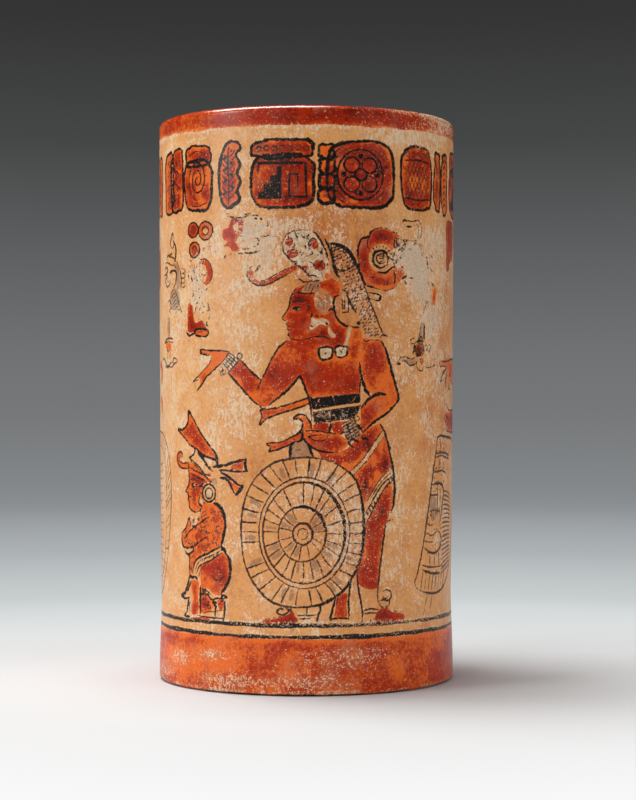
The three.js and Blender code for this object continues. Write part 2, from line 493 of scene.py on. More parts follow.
def paint_shield():
    """Round shield of woven cane, with two rims and a hub."""
    b = Brush()
    outline = places("-24.6,60 -24.2,66 -22.8,72 -20.5,77 -16.5,82 -11,85.5 -5,86.8 1,87.2 7,86.5 12,84.5 "
                     "16.5,81.5 19.5,77.5 21,72 21.8,66 22,60 21.5,54 20,48 17,42.5 14,38.5 9,35 4,33.2 "
                     "-2,32.5 -8,33 -13,34.7 -17,38 -20.5,42.5 -23,48 -24.2,54")
    b.bare(outline)
    b.line(outline, 0.8, 0.7, loop=True)
    b.line(outline[9:22], 1.2, ends=0.3)
    b.draw("""
ring: -0.5,59.7 16.9,20.3 0.65 0.6 / -0.6,59.7 15.3,18.5 0.8 0.6 / -1.2,59.3 8.8,10.1 0.7 0.6 / -1,59.3
3.6,3.9 0.95 0.6 / -1,59.3 1.9,2 0.5 0.6 / -0.6,59.7 15.2,18.4 1.2 0 -25 110 / -1.2,59.3 8.7,10 1.1 0 -30
140;
tint ground_tone: 12,60 14,22 0.7;
tint worn: 16,62 9,20 1""")
    rim = curved(outline, True)
    bearing = np.arctan2(rim[:, 1] - 59.8, rim[:, 0] + 1.1)
    zones = (((17.1, 20.5), None, 34, 0.66), ((9, 10.4), (15, 18.2), 24, 0.62),
             ((3.8, 4.1), (8.6, 9.9), 15, 0.55))
    for near, far, count, width in zones:
        for k in range(count):
            angle = 2 * math.pi * (k + hand.uniform(-0.16, 0.16)) / count
            c, s = math.cos(angle), math.sin(angle)
            bend = hand.uniform(-0.5, 0.5)
            start = np.array([-0.9 + near[0] * c, 59.7 + near[1] * s])
            if far is None:
                end = rim[np.argmin(np.abs(np.angle(np.exp(1j * (bearing - angle)))))]
            else:
                end = np.array([-1.1 + far[0] * c, 59.8 + far[1] * s])
            if hand.uniform() > 0.07:
                middle = (start + end) / 2 + bend * np.array([-s, c]) * 0.6
                b.line([start, middle, end], width, hand.uniform(0.2, 0.9))
            if hand.uniform() < 0.32:
                turn = angle + math.pi / count
                along = np.array([math.cos(turn), math.sin(turn)])
                at = (-1, 59.7) + (np.array(near) + 2.8) * along
                along *= 1.6
                b.line([at - along, at + along], hand.uniform(1.1, 2.2), layer="wash", ends=0.9)


def legs_and_kilt(b):
    """The kilt with its pale bands, the legs under it and the sandals."""
    b.draw("""
area 0.1: 4,92 14,90 21,96 28.5,99.3 31.5,93 33,88 34.2,82 33.5,77 26,70 22,63 10,80;
area 0.25: 27,74 31,76.3 34,76 34.4,71 32.8,66 31.2,62 30,57 29,50 28.3,43 27.8,39.2 24,38.7 20.3,40.5
19.2,45 21.5,51 21,60 23.5,66;
tint: 24.5,91 3,3.4 1.5 / 22.5,76.5 1.6,2.2 1.6 / 31,84.5 1.8,2.6 1.6 / 17.5,88 2,2.4 0.9 / 12.5,85.5 2,1.5
0.8 / 24,82 2,2 1 / 27.4,80.5 1.2,1.8 -1.9 / 19,84.5 1.5,1.5 -1.9 / 29,90 1.2,3 -1.2 / 14.6,84 1.6,1.5 -1.6 /
26,86 1,2.4 -1.6 / 24.5,78 1,1.6 -1.6 / 22,88 1,1.4 -1.2 / 21.5,46 2,4 0.5 / 29,70 2.5,5 0.35 / 30,66 2,4
0.5;
1.3 pale: 10,88.4 13,86.4 15.3,87 15.8,84.6 / 21,84.5 24,84.2 26,81.6 23,79 / 18.5,90.5 20,89 20.5,86.5;
bare: 30,97.6 26,92.6 21.5,86.6 16.3,81.5 18,80.8 22.5,85.3 27,90.9 31.2,95.8 / 34.4,83.4 31,81.2 28,78.2
25.5,74.7 22,69.4 22,62.5 25.4,66.8 28.3,72 31.3,76.2 34.8,79;
0.6 0.2: 30,97.6 26,92.6 21.5,86.6 16.3,81.7;
0.55 0.4: 31.2,95.9 27,90.9 22.5,85.3 18,80.9;
0.5 0.5: 34.2,83.2 31,81.2 28,78.2 25.5,74.7 23,70.8;
0.45 0.7: 33.6,81.4 30.6,79.4 27.6,76.2 25,72.4;
0.6 0.1: 34.4,80.4 30,77.4 27,73.5 24,68.6 22.3,66 / 34.6,78.9 31.2,76.3 28.2,72.1 25.2,66.9 23,63""")
    for k in range(11):
        t = k / 10
        b.line([(33.6 - 10.6 * t, 80.2 - 12.8 * t ** 0.92), (33.9 - 10 * t, 78.7 - 13.2 * t ** 0.92)],
               0.7, 0.1)
    b.draw("""
1.15: 28.6,99.3 30.3,96.6 31.8,92.8 33.1,88 34.2,83.6 34.8,79.5 35.1,75 34.7,70 33.6,66.6;
0.8 0.2: 34.4,64 32,63.6 31,61 30.3,57 29.4,51 28.6,45 28,39 27.8,36.3 28.4,33.4 30,31.8 32.2,31.4;
0.75 0.1: 19.3,45 19.8,40 20.9,34.5 21.6,30 21.4,26.6;
0.7 0.2: 21.9,31.1 25,31.4 28.4,31.1 / 22,29.9 27.6,29.9;
0.5: 26.3,28.4 26.4,26.6 / 24.6,27.6 25.2,26.6;
ring: 31.8,36.2 2.1,2 0.7 0.4 200 300;
0.7 0.4: 30.4,36 30.8,34.9 32,35.4;
0.75 0.3: 28.9,34.4 31.4,34.6 33.2,33.9 32.7,32.2 31.3,32;
area 0.6: 27.4,26.6 27.5,30 29,31.1 31.3,31.6 34.5,30 38.4,29.3 40.2,28.2 39.5,26.6;
0.35 0.7: 29,31.3 31.3,31.7 34.4,30.3 38.4,29.5 40.2,28.2;
area 0.8: -17,26.4 -14.5,27.8 -10,28.7 -6.5,30 -4.6,31.4 -3.9,29.3 -2.5,27.6 -6,26.4;
0.35 0.6: -17,26.9 -14,28.2 -9.5,29.1 -6.5,30.4 -4.7,31.6;
0.55 0.1: -3.6,29.7 0,29.6 4,29.8;
0.6 0.3: -2.4,28.3 2,28.6;
0.8 0.1: 5.6,33.6 5.2,31 4.4,28.6 4.3,26.6;
0.65 0.3: 0.6,32.6 0.4,30 / -5.4,32.6 -5.2,30.8;
ring: -9.2,30.9 1.3,1.1 0.7 0.4 20 300;
0.65 0.3: -8.2,29.8 -6.8,30.5 -6,31.6 -7.6,32""")


def cloth_end(b):
    """Loincloth end that hangs between the legs."""
    b.draw("""
area 0.9: 11.8,36.2 11.1,32 10.9,29 15.4,28.9 15.3,33 15.6,37.4;
0.9: 11.2,36 10.1,32 9.2,28.4 9.2,27.8;
1: 9,28.1 12.5,28.5 16.4,28.1;
0.75 0.1: 16.3,28.3 16.2,32 16.3,37 16.9,41.4;
0.5 0.4: 11.9,36.2 11.5,33.2""")


def torso_and_arms(b):
    b.draw("""
area 0.15: 0,131.5 -6.5,130 -9.5,127.6 -12,124 -14.2,120 -16.4,115.3 -19.5,118 -24.6,123 -30.3,119 -26.5,115
-22.5,110.9 -18.5,106.9 -15.5,105.6 -12,107.1 -7,111.4 -3.2,114.9 -2,116.4 -0.4,112.8 1.5,108.3 4,104
20.4,104 20.4,116 20.2,122 21.4,130.3 12,132.5;
area -0.3: 20.2,130.3 28.6,130.2 30.8,127 32.5,122 34,117.5 36,112 36.6,109 35.7,107 33,104.6 30,102.5
26,100.2 21.4,96.4 19.5,99.5 18.9,102.5 20.6,105 25,109.6 22.8,112.6 21,118.5 20,122;
tint: -7,124 4,5 -0.6 / -4,129 5,2 0.5 / -22,116 7,3 -0.7 / 3,117 6,5 0.7 / 13,122 5,3 -0.7 / 15,113 5,5 0.6
/ 32,108.5 4,4 -1.1 / 25,122 3,5 0.5 / 28,115 3,3 -0.5 / 23,103 3,4 0.8 / -14,110 4,3 -0.7 / -13,118 3,3 0.4
/ 8,107 7,1.6 -0.5 / 17,128 4,2 0.6 / 5,130 5,1.6 0.4 / -27,119 3,3 0.4 / -26,115 3,2 -0.9 / -19,109.5 5,3 -1
/ -12,112 4,3 -0.5 / 33,119 2,5 -0.8 / 29,104 4,2 -0.8 / 10,107 9,2 -0.5 / -11,126 2,4 -0.6;
bare: 20.5,117.5 22.2,113 24.2,109.7 22.4,107.4 20.7,105.3 20.4,110;
0.85: -6.6,129.9 -9.5,127.6 -12,124 -14,120 -15.6,116.6 -16.5,115.2;
: -16.4,115.2 -17.9,112.2;
0.85: -16.4,115.3 -19.5,118 -22.4,120.8 -24.4,123;
0.9: -30,118.4 -26.5,115 -22.5,110.9 -19,107.4 -16.4,105.6 -14.4,105.4 / -13.2,106.4 -9.5,109.4 -6,112.3
-3.2,115.6 -2,116.7 -1,114.6 0,112 1.2,108.6 1.9,105 2.3,100.6;
1.1: 28.7,130 30.8,127 32.5,122 34,117.5 36,112 36.7,109 35.7,107 33,104.6 30,102.5 26,100.1 23,97.6
21.4,96.3 / 20.1,121.9 20.4,118.8 21.3,115.3 22.6,112 24.3,109.8;
: 20.4,116 20.2,110.5 20.5,106;
1.15: 20.9,105.3 22.6,107.4 25.3,109.5 28,110.5 31,110.2;
0.9: 19.1,103 19.8,99.4 21.3,96.4""")


def pointing_hand(b):
    b.draw("""
area -0.85: -29,126 -36,126.5 -41.5,127 -43,126.3 -41.2,125.3 -37.6,124.9 -37.4,123.6 -38.6,121.6 -41,119.6
-44.5,116.9 -46.8,114.9 -46,113.4 -45,111.6 -42.3,114 -40,116.6 -36.8,118.9 -33.9,121 -31.5,122.6;
tint: -41,116.4 2,2 1.5;
bare red: -47.2,115 -43.6,116.4 -43.4,114 -45.2,111.4 -46.4,113;
0.85 0.1: -29,126 -33,126.4 -38,126.6 -42,127 -43.1,126.2 -42.2,125.4 -40,125 -37.8,124.8;
0.65 0.3: -37.2,124.4 -37.7,122.9 -39.2,120.9 -41.6,119 -44.6,116.8 -47.2,115;
0.5 0.4: -47.2,114.9 -45.2,115.5 -43.6,115.9;
0.4 0.7: -46.2,114.4 -46.2,113 -45,113.3;
0.75 0.2: -44.8,111.6 -42.3,114 -40,116.6 -36.8,118.9 -33.9,121 -31.6,122.8""")


def cuff(b, inner, outer, loops, finish="pale"):
    """Bracelet of small beads, drawn as a hatched band with loops along one edge."""
    inner, outer = np.array(places(inner)), np.array(places(outer))
    outline = [*inner, *outer[::-1]]
    b.bare(outline, curve=False)
    b.area(outline, layer=finish, curve=False)
    b.line(inner, 0.6, 0.4)
    b.line(outer, 0.6, 0.4)
    for t in np.linspace(0.08, 0.92, 6):
        start, end = inner[0] + (inner[1] - inner[0]) * t, outer[0] + (outer[1] - outer[0]) * t
        b.line([start, end], 0.5, 0.45)
    for t in (0.35, 0.68):
        start, end = inner[0] + (outer[0] - inner[0]) * t, inner[1] + (outer[1] - inner[1]) * t
        b.line([start, end], 0.45, 0.5)
    for at in places(loops):
        b.ring(at, (0.9, 0.8), 0.4, 0.6)


def belt(b):
    """Broad belt of a black band, a cream stripe and a brown band."""
    b.draw("""
bare curve=0: 2.6,109 20.4,110.6 20.6,99.5 2.4,98.5;
area ink curve=0: 1.6,108.8 8,109.6 14,110.2 20.3,110.6 20.4,107.2 14,106.5 8,105.4 2.6,104.5 / 2.8,103.9
8,104.7 14,105.5 20.5,106.3 19.4,103 17.4,101.7 10,100.8 3,100;
tint ink_tone: 7,102.5 7,1.6 2;
tint worn: 9,103 9,2.2 1;
tint ink_tone: 15.5,108 0.8,2 0.8""")
    for start, end in (((5, 103.6), (7, 101.4)), ((9, 104), (8.4, 102)), ((18.6, 109.6), (17.4, 107.6))):
        b.line([start, end], 0.4, layer="pale")
        b.bare([start, (start[0] + 0.2, start[1]), end], ["ink"], curve=False)
    b.draw("0.45 0.2: 2.8,99.6 8,100.3 14,101.1 18.4,101.8")
    for start, end in (((9.6, 109.8), (11.2, 106.2)), ((5, 108.6), (3.6, 105.6))):
        b.line([start, end], 0.5, layer="pale")
        b.bare([start, (start[0] + 0.3, start[1]), end], ["ink"], curve=False)
    b.draw("""
area 0.7: 3,99.3 8,99.7 8.4,96.8 3,96.4;
area 0.5: 9.8,99.9 15,100.5 17,100.8 13.5,95.6 10.2,96.4;
0.8: 9.2,99.8 8.8,96.6;
: 17.8,101.6 15.2,98.2 12.8,95.4;
0.5 0.3: 16.4,101.2 18.2,98.4 19.8,96""")


def sash(b):
    """Knotted sash: two ribbons blown to the left and a curled hook."""
    b.draw("""
shape -0.1 0.7 0.1: 2,109.2 -2,107.9 -6.5,106.4 -11,105.2 -16.8,104.4 -16.1,102.4 -16.9,99.2 -14,101.5
-8,103.7 -3,105.2 1.6,107.2;
area -0.35: 3,97 2,99.5 0.4,102.3 -2.2,103 -4.4,101.8 -3.2,100.9 -1.5,101 -0.9,99.4 -1.4,97.4 -2.2,95.8
0.5,94.6;
0.85: 2.3,97.8 1.6,100 0.1,102.3 -2.2,103 -4.3,101.8 -4.2,101;
: -4.2,101.2 -2.6,101.3 -1.3,100.6 -1,98.8 -1.8,96.8 -3,95.4;
shape -0.1 0.75: -1.8,96.4 -5,94.7 -9,92.9 -14.3,92.3 -12.8,90.9 -13.6,89.3 -8.5,90.7 -4,92.7 -1.6,93.6;
area wash: -4.6,93 -1.2,94 1.6,92 2.6,88.4 1.4,85 -5,85 -5.2,90;
1: -5,92.8 -5.6,90 -5.6,86 / -0.6,93.6 1.4,91 2.2,88.4 3.2,87;
0.4 0.6: -4,89.9 -1.4,90.1""")


def resting_hand(b):
    """Hand that holds the shield by its top edge."""
    outline = places("-1.2,96.8 3,96.9 8,96.3 11.5,95.7 14,94.6 16.3,93 15.2,91 12,89.2 8,89.1 4,90.1 "
                     "1,92 -0.8,94.4")
    b.bare(outline)
    b.area(outline, 0.0)
    b.draw("tint: 9.5,92.5 5,2.2 0.4 / 1.5,95 2.4,1.6 -0.6")
    b.line(outline[7:] + outline[:1], 0.9)
    b.draw("""
0.7 0.1: -1.2,96.8 3,97 8,96.4 11.6,95.7;
shape -0.5 0.6 0.1: 0.9,94.8 4,93.3 7,93.6 8.2,94.6 6,95.4 3,95.3""")
    cuff(b, "13.4,98.8 16,92.2", "18,101.4 20.6,95.2", "19.2,101.4 21.4,97.6 22,94.6", "wash")
    b.draw("""
scatter 26 0.7 0.5 0.1: 13.6,98.6 18,101.2 20.6,95.4 16,92.4;
strokes 1: 17.5,94 19.5,92.9 / 21,94.4 23.2,93.9 / 19.3,99 20.9,97.3 / 16,92.4 17.4,91.2""")


def turban(b):
    outline = places("-8.6,165.4 -7,168.2 -4.8,169.7 -2,170.2 1,170.1 3.4,169 5.4,166.8 7.4,162.4 "
                     "8.4,158.8 9,155 8,152.4 5.4,151.8 2.6,152.2 0.8,154 -1.4,156.4 -4.4,158.4 "
                     "-6.8,160.6 -8.2,163")
    b.bare(outline)
    b.area(outline, layer="pale")
    b.draw("""
tint worn: 0,161.5 7,7 1;
scatter 110 0.8 0.5 0.25: -8,165 -6,168.6 -2,170 4,168 8.4,157 2,152.6 -7,161""")
    b.line(outline[12:] + outline[:1], 0.7, 0.15)
    b.line(outline[:6], 0.5, 0.2)
    b.draw("""
disc: -6,165.8 1.6,1.5 0.9 / -4.8,161.6 2.2,1.8 0.8 / 3,165 1.7,1.9 1.1 / 5.2,157.2 2.2,2 0.9 / -0.4,156.4
1.8,0.9 0.6 / 7.8,153.4 1,1.2 / -3.8,155.8 0.8,0.8 -0.3;
disc pale: 5.4,157.4 0.5,0.5;
ring: 3,165 1.9,2.1 0.6 0.1 60 200 / 5.2,157.2 2.3,2.1 0.5 0.3 80 150;
strokes 0.6 0.1: -3.6,169 -3.3,168 -2.6,167.2 / -1.3,168.2 -0.4,167 / 1.2,168.5 0.6,167.4 / 0.7,167.4
1.4,166.2 / -4,165.2 -4.1,163.4 / -0.2,164.6 0.2,163.8 / -0.4,162.3 -1.6,160.8 / 2,163.2 2.6,161.3 / -3,162.6
-1.8,162 / 2.6,153.8 3.6,153.4 4.4,152.8 / 0.6,154 1.2,153.2 / 5.8,154.4 6.4,153.4;
0.8 0.15: 3.4,169.4 4.6,167.6 6.2,165.2 7.4,162.2 8.4,159.2;
0.9 0.15: 7,167 8.2,164.6 9.4,161.4 10,158 10.8,154.8 12.4,152.6;
0.4 0.15: 5.4,165 6.2,162.6 6.2,160.6;
0.65 0.2: -2.9,152.4 -1.6,151.9 -0.6,151.2 1.2,151.4 3,151.6 5.6,151.6""")


def netted_tail(b):
    """Long tail of net that hangs from the back of the turban to the shoulder."""
    left = places("9.5,163.6 10,160 11.4,156 13.3,151 15.6,146 18.4,140.6 20.6,136.4 22.6,131")
    right = places("12,164.8 15.6,162.6 18.2,159.2 20.2,155.4 22.2,149.6 25,143.2 27.6,137 29,131")
    b.bare(places("9,165") + left + right[::-1], ["ink", "wash"])
    b.bare(places("9,165") + left + right[::-1])
    b.draw("""
tint worn: 19.5,146 4,11 0.4;
1.2: 8.8,165.2 12,164.9 15.4,163 17.8,159.8 20,155.6 21.2,152.6 22.4,148.8;
0.8: 22.4,148.8 24.4,144 26,140.4 28.2,135.6 30.2,132;
0.75: 28.3,131.2 29.6,132 31.6,131.7;
0.7 0.15: 9.2,164.6 9.7,161.4 10.6,158 11.6,154.8 12.4,153;
0.9: 13.6,148.6 14.6,148 15.6,146 17,143.2 18.7,140.2;
0.35 0.6: 13,163 15.2,161 17,157.8 18.6,154.4""")
    path_left, path_right = curved(left), curved(right)
    count = 30
    for k in range(count):
        t = (k + 0.5) / count
        near = path_left[int(t * (len(path_left) - 1))]
        far = path_right[int(t * (len(path_right) - 1))]
        dark = k < 8
        for n in range(5):
            if hand.uniform() < (0.85 if dark else 0.9):
                s = (n + 0.5 + hand.uniform(-0.2, 0.2)) / 5 * 0.9 + 0.02
                at = near + (far - near) * s
                lean = np.array([0.6, 0.2]) if (n + k) % 2 else np.array([0.2, 0.6])
                b.line([at - lean, at + lean], 0.62, 0.25 if dark else hand.uniform(0.5, 1.5))
            if not dark:
                at = near + (far - near) * hand.uniform(0.08, 0.95)
                b.line([at - (0.5, 0.1), at + (0.5, 0.3)], 0.8, layer="pale")
                if n < 2:
                    at = near + (far - near) * hand.uniform(0.1, 0.95)
                    b.line([at - (0.3, 0.3), at + (0.4, 0.3)], 0.6, layer="red")
    b.draw("""
0.7 0.1: 11.2,156.4 13.6,155.2 16.2,156.2 17.4,157.4;
strokes 0.55 0.3: 21.6,130.4 22.6,129.6 24,130.2 / 24,130.3 25.8,130.2 / 26.2,130.1 28.2,130.4""")


def flower_stem(b):
    b.draw("""
area 0.5: -3.6,157.2 -8,155.3 -12.6,152.8 -15.6,151.7 -17.6,151.9 -19,153.4 -19.3,155 -20.6,156.6 -21.6,154.6
-21,152.4 -19.2,150.6 -16.6,149.9 -14,150.3 -10.6,151.9 -7,153.9 -3.4,155.6;
0.55 0.3: -3.2,157.3 -7,155.9 -10.5,154.2 -13.6,152.5 -15.6,151.7;
0.7 0.15: -5.4,154.6 -9,152.8 -12.4,151 -15,150.1 -17.6,150 -19.6,151 -21.3,152.8 -21.7,154.6 -20.8,156.4;
ring: -15.9,151.1 0.8,0.8 0.4 0.4;
strokes 0.8 0.2: -18.6,155.2 -17.8,155.9 -17.3,156.9 / -17.6,157.2 -16.8,157.2 / -20.6,156.8 -19.8,157.2;
disc: -17.3,156.6 0.9,0.7 -0.2;
0.4 0.5: -15,168 -12,168 -9.5,167.6 -8.4,166.4""")


def ear_cloth(b):
    outline = places("10.6,145.8 12.4,146.2 14.4,148.4 16,146 18.8,141 20.6,137.4 20,134.9 16.4,134.9 "
                     "13,136.2 11.2,138.8 10.4,142")
    b.bare(outline)
    b.line(outline[6:] + outline[:2], 1.0)
    b.draw("""
0.9: 15.6,145.8 16.8,143.2 18.6,140.4;
strokes 0.6 0.3: 13.5,145.4 13.5,139.9 / 13.5,140.1 15.9,140.3 / 15.9,140.2 15.8,145.4 / 14.3,144.6
14.3,141.4;
dot: 19.8,136.2 1.2""")


def beads(b):
    b.draw("""
bare: 15.4,134.6 17.2,134.8 16.2,130.4 15.6,127.6 13.6,127.2 14.8,130.4;
strokes 1.1 pale: 16.4,134.2 15.8,132 / 16.2,132.6 15.4,130.4 / 15.4,130.6 14.6,128;
1.2 pale: 7.4,129.6 9.4,127.4""")
    for u, v, w in ((7.3, 125.2, 2.3), (13.1, 125.8, 2.1)):
        outline = [(u - w, v + w * 0.7), (u, v + w), (u + w, v + w * 0.8),
                   (u + w, v - w * 0.5), (u, v - w), (u - w * 0.9, v - w * 0.7)]
        b.bare(outline)
        b.area(outline, layer="pale")
        b.line(outline, 0.85, 0.05, loop=True)
    b.draw("""
dot: 7.3,125.2 0.8 0.3;
strokes 0.7 0.5: 12.4,126.6 13.4,125.4 / 13.6,126.8 13.2,125.6;
strokes 0.8: 9.9,125.6 10.8,125.7""")


def face(b):
    """A plain face in profile, on even thirds from hair to chin."""
    b.draw("""
0.6 0.15: -3.4,149 -5,146.6 -5.7,144 -5.9,142.4 -6.9,140.4 -8.4,138.4 -8,137.4 -6.4,137;
0.6 0.1: -6.4,137 -7.1,136 -6.3,135.1 -6.8,134.2 -6,133.3 -6.3,132 -5.4,130.7 -3.6,130.1 -1,130.2;
0.7 0.1: -1,130.2 2,130.9 5,131.4 7.6,131 9,130.2;
0.5 0.1: -6.3,135.1 -4.5,135.2;
0.4 0.3: -6.5,137.5 -5.5,138.3;
bare red: -4.7,141.3 -3.2,142.2 -1.2,141.4 -3,140.8;
0.5: -4.8,141.3 -3.2,142.3 -1,141.4;
0.4 0.2: -4.5,141.2 -3,140.7 -1.3,141.3;
dot: -3.3,141.5;
0.55: -5.2,143.7 -3,144.4 -0.2,143.7""")


def head(b):
    b.draw("""
area 0.45: -3.4,149.2 -5,146.6 -5.9,142.4 -6.9,140.4 -8.4,138.4 -6.4,137 -7.1,136 -6.3,135.1 -6.8,134.2
-6,133.3 -6.3,132 -3.6,130.1 2,130.9 9,129 13.5,128.4 15.6,132 15.4,135 12,137 10.6,140 12.6,147 12.4,150.6
9.6,152.6 6,151.4 2,151;
area 0.1: 17.4,134.6 20,134.6 21,131 20,129 15.8,128.6;
tint: 9.4,149 3,2.6 -0.3 / 12,131 2.6,3.6 1.2 / 1,142.5 3,2 0.9 / -1,134 3,2.4 -0.5 / -4,145 2,2 0.7 /
7,132.6 3,1.4 0.9 / 3,138 2,2 -0.6 / 13,138 2,3 -0.8 / 0,137 2,1.6 0.6;
bare red: 3.4,146.6 6,148.8 8.6,146.6 10.4,144.6 9.8,141.6 7,139.2 4.6,140.6 3.2,143.4;
tint ground_tone: 6.6,143.6 3,3.4 2.2;
strokes 1.2 wash: 4.6,146.4 6,143.8 6.4,141 / 7.4,147.4 8.4,144.4 8.2,142 / 5.4,140.8 4.4,142.6;
bare red: -0.6,149.6 1.4,151.2 4.4,151.4 5.4,148 2.4,147.6 -1,147.6;
area wash: -0.4,149.6 1.4,151 4.4,151.2 5.2,148.2 2.4,147.8 -0.8,147.8""")
    for patch in ("2.2,138.4 4,137.6 6.4,138 8.6,136.8 8,135.2 5.4,135.8 3.4,134.4 1.2,133.6 2,136",
                  "8.4,135.2 9.6,133.4 11.2,131.4 9.4,131 8.2,133"):
        b.bare(patch, ["red"])
        b.area(patch, layer="pale")
    b.draw("""
strokes 0.8 0.1: 8.4,140.6 9.4,141.6 / 9.6,141 10.2,141.8 / 2,138.4 2.4,139.6 / 3.6,138.8 4.8,138.4 / 2,135.4
2.6,134.8 / 7.4,136.2 8,135.8 / 4.6,144.4 5,143.6 / 0.8,134.4 2,133.4;
0.5 0.2: -2.8,147.6 -0.6,149.6 1.4,151.2;
strokes 0.45 0.3: -0.2,147.8 0.4,149.4 / 1,147.6 1.6,149.6 2.2,150.6 / 2.2,147.6 3,150 / 3.6,149 3.4,150.4 /
4.4,148.8 4.8,150.6;
0.6 0.1: -3.4,147.3 0,147 3.4,147.2""")
    face(b)


def round_ornament(b):
    """Round red flower behind the turban, worn away on its right."""
    b.draw("""
area 0.1: 19.6,160 19.8,164.6 21.4,167.2 24,168.2 25.4,170.1 28,171.1 31,171.2 34.4,170.4 37,168.8 35,167.6
35.6,165.6 34.6,163.8 33,163.6 31.2,165.2 28.6,165.6 25.8,164.4 24,161.8 24,158.6 25.6,156.2 28.2,155
31,154.9 33.4,156.2 36.4,157.2 39.4,156.2 38.6,153.4 36,150.8 33,148.6 29.6,148.8 26,149.8 22.6,150.6
20.4,154;
tint: 22,160 2,4 1 / 23,153 2,2 -0.6 / 35,154 4,3 -0.9 / 31,149.6 3,1.4 -0.8 / 29,168.6 4,2 0.7 / 33.5,165
2,1.5 -0.6 / 23,165 1.6,1.6 -0.6 / 27,151.6 3,1.4 0.7;
0.9 0.05: 19.5,160 19.7,164.6 21.2,167.3 23.9,168.2 24.2,169.4 26,170.8 28.4,171.4;
strokes 0.6 0.15: 28.6,171.6 29.4,171.3 / 30.4,171.7 31.4,171.4 / 33.8,170.4 34.8,170 / 35.4,170.2
36.2,169.6;
0.5 0.1: 32.6,167.8 34.4,168.1 36.6,167.7;
0.8 0.05: 33.8,167.4 35.6,166.8 34.2,165.6 35.6,164.6;
0.45 0.35: 36.6,167.8 40,167.6 44.6,167.4 47,168 48,169.8;
0.9 0.1: 19.6,159.6 20.3,155 21.4,152 23,150.3 25.4,149.6 28.4,148.9;
0.4 0.7: 28.4,148.9 31,148.5 33.6,149.2 36.6,150.8;
0.5 0.2: 23.8,168 23.2,166.2 23.4,164.2 24,162.6;
0.7 0.2: 34.6,155.8 35,153.4 34.6,151;
strokes 0.6 0.3: 30,150.4 30.8,151.8 / 24.6,153.2 26.4,153.4 / 36.2,153.4 37,152.2 / 32,151.8 31.2,150.4;
ring: 28.6,160 3.2,3.2 1 0.05 -20 320 / 28.8,160.2 1.9,1.8 0.7 0.1 20 300;
strokes 0.55 0.05: 27.8,161.2 29.6,161.2 / 28,160.2 29.8,160.3 / 28.4,159.2 29.8,159.4 / 29.8,161.8
29.8,160.2;
0.8 0.05: 27.2,155.2 30,155 32,155.8 34,157.4;
0.5 0.2: 26.6,156.9 29.4,157 31.8,158.2""")
    for angle in range(40, 150, 18):
        c, s = math.cos(math.radians(angle)), math.sin(math.radians(angle))
        b.line([(28.6 + 4.2 * c, 160.2 + 4.2 * s), (28.6 + 5 * c, 160.2 + 5 * s)], 0.6, 0.1)
    b.draw("""
strokes 0.75 0.1: 31.8,163.2 32.8,163.4 / 32.6,162.2 34,161.8 / 33,160.2 34.6,160 / 32,161 33,160.4;
scatter 56 0.8 0.75 0.5: 35,167.6 41,167.6 40,160 34.4,158 33.6,161;
strokes 0.9 0.4: 37.2,164.4 38.2,163.2 / 34,157.2 35.2,157.4 / 38,157.6 39,157.2 / 41.6,164.6 43,164.2 /
38.6,153.4 40.4,154.2 / 39.6,152.4 40.4,151.2 / 41.8,153.6 44,153.6""")


def bracket_mark(b):
    b.draw("""
0.6 0.1: 22.8,147.6 25.4,147.4 28.7,146.6 28.2,144.8 25.8,145 24,145.6;
0.9: 28.6,146.8 28.2,144.9""")


def scroll_and_smudges(b):
    """A speech scroll and what is left of its trail, almost worn away."""
    b.draw("""
1 0.1: 38.8,174.2 39.4,174.9 40.8,174.6;
0.5 0.4: 39.2,173.4 41.4,172.4 44,173 46.4,173.4 47,171 46.6,168.8 45,167.6;
0.5 0.45: 39.4,175 43,174.6 47,175.2 48.6,173.4 48.8,170.4 47.8,168;
0.8 0.2: 40.4,172.5 42.6,172.6;
0.9 wash: 44.6,165.6 46,166.6 48.4,165.6 51.4,165;
0.6 0.5: 44.4,166.2 45.6,166.9;
1.8 wash: 48.6,164.6 49.6,163.4 49,162;
strokes 0.8 0.75: 52.4,160.4 52.6,158.8 53.2,157.2 / 54,158 55,157.2 56.4,156.6 / 54.8,162.6 55.6,161.8 /
52.8,152.8 53.2,151.6 / 56,152 57,151 / 51.8,161.6 52.8,161.2 / 55.4,152.6 56,151.6;
area -0.2: 57.2,150.2 58.8,150.6 58.8,147.4 57.8,144.4 56,144.4 56.2,147.4;
2 wash: 51.8,145.2 51.2,143;
0.5 0.7: 53.4,145.4 51.4,143.8 50.4,141.6 49.8,139.4""")


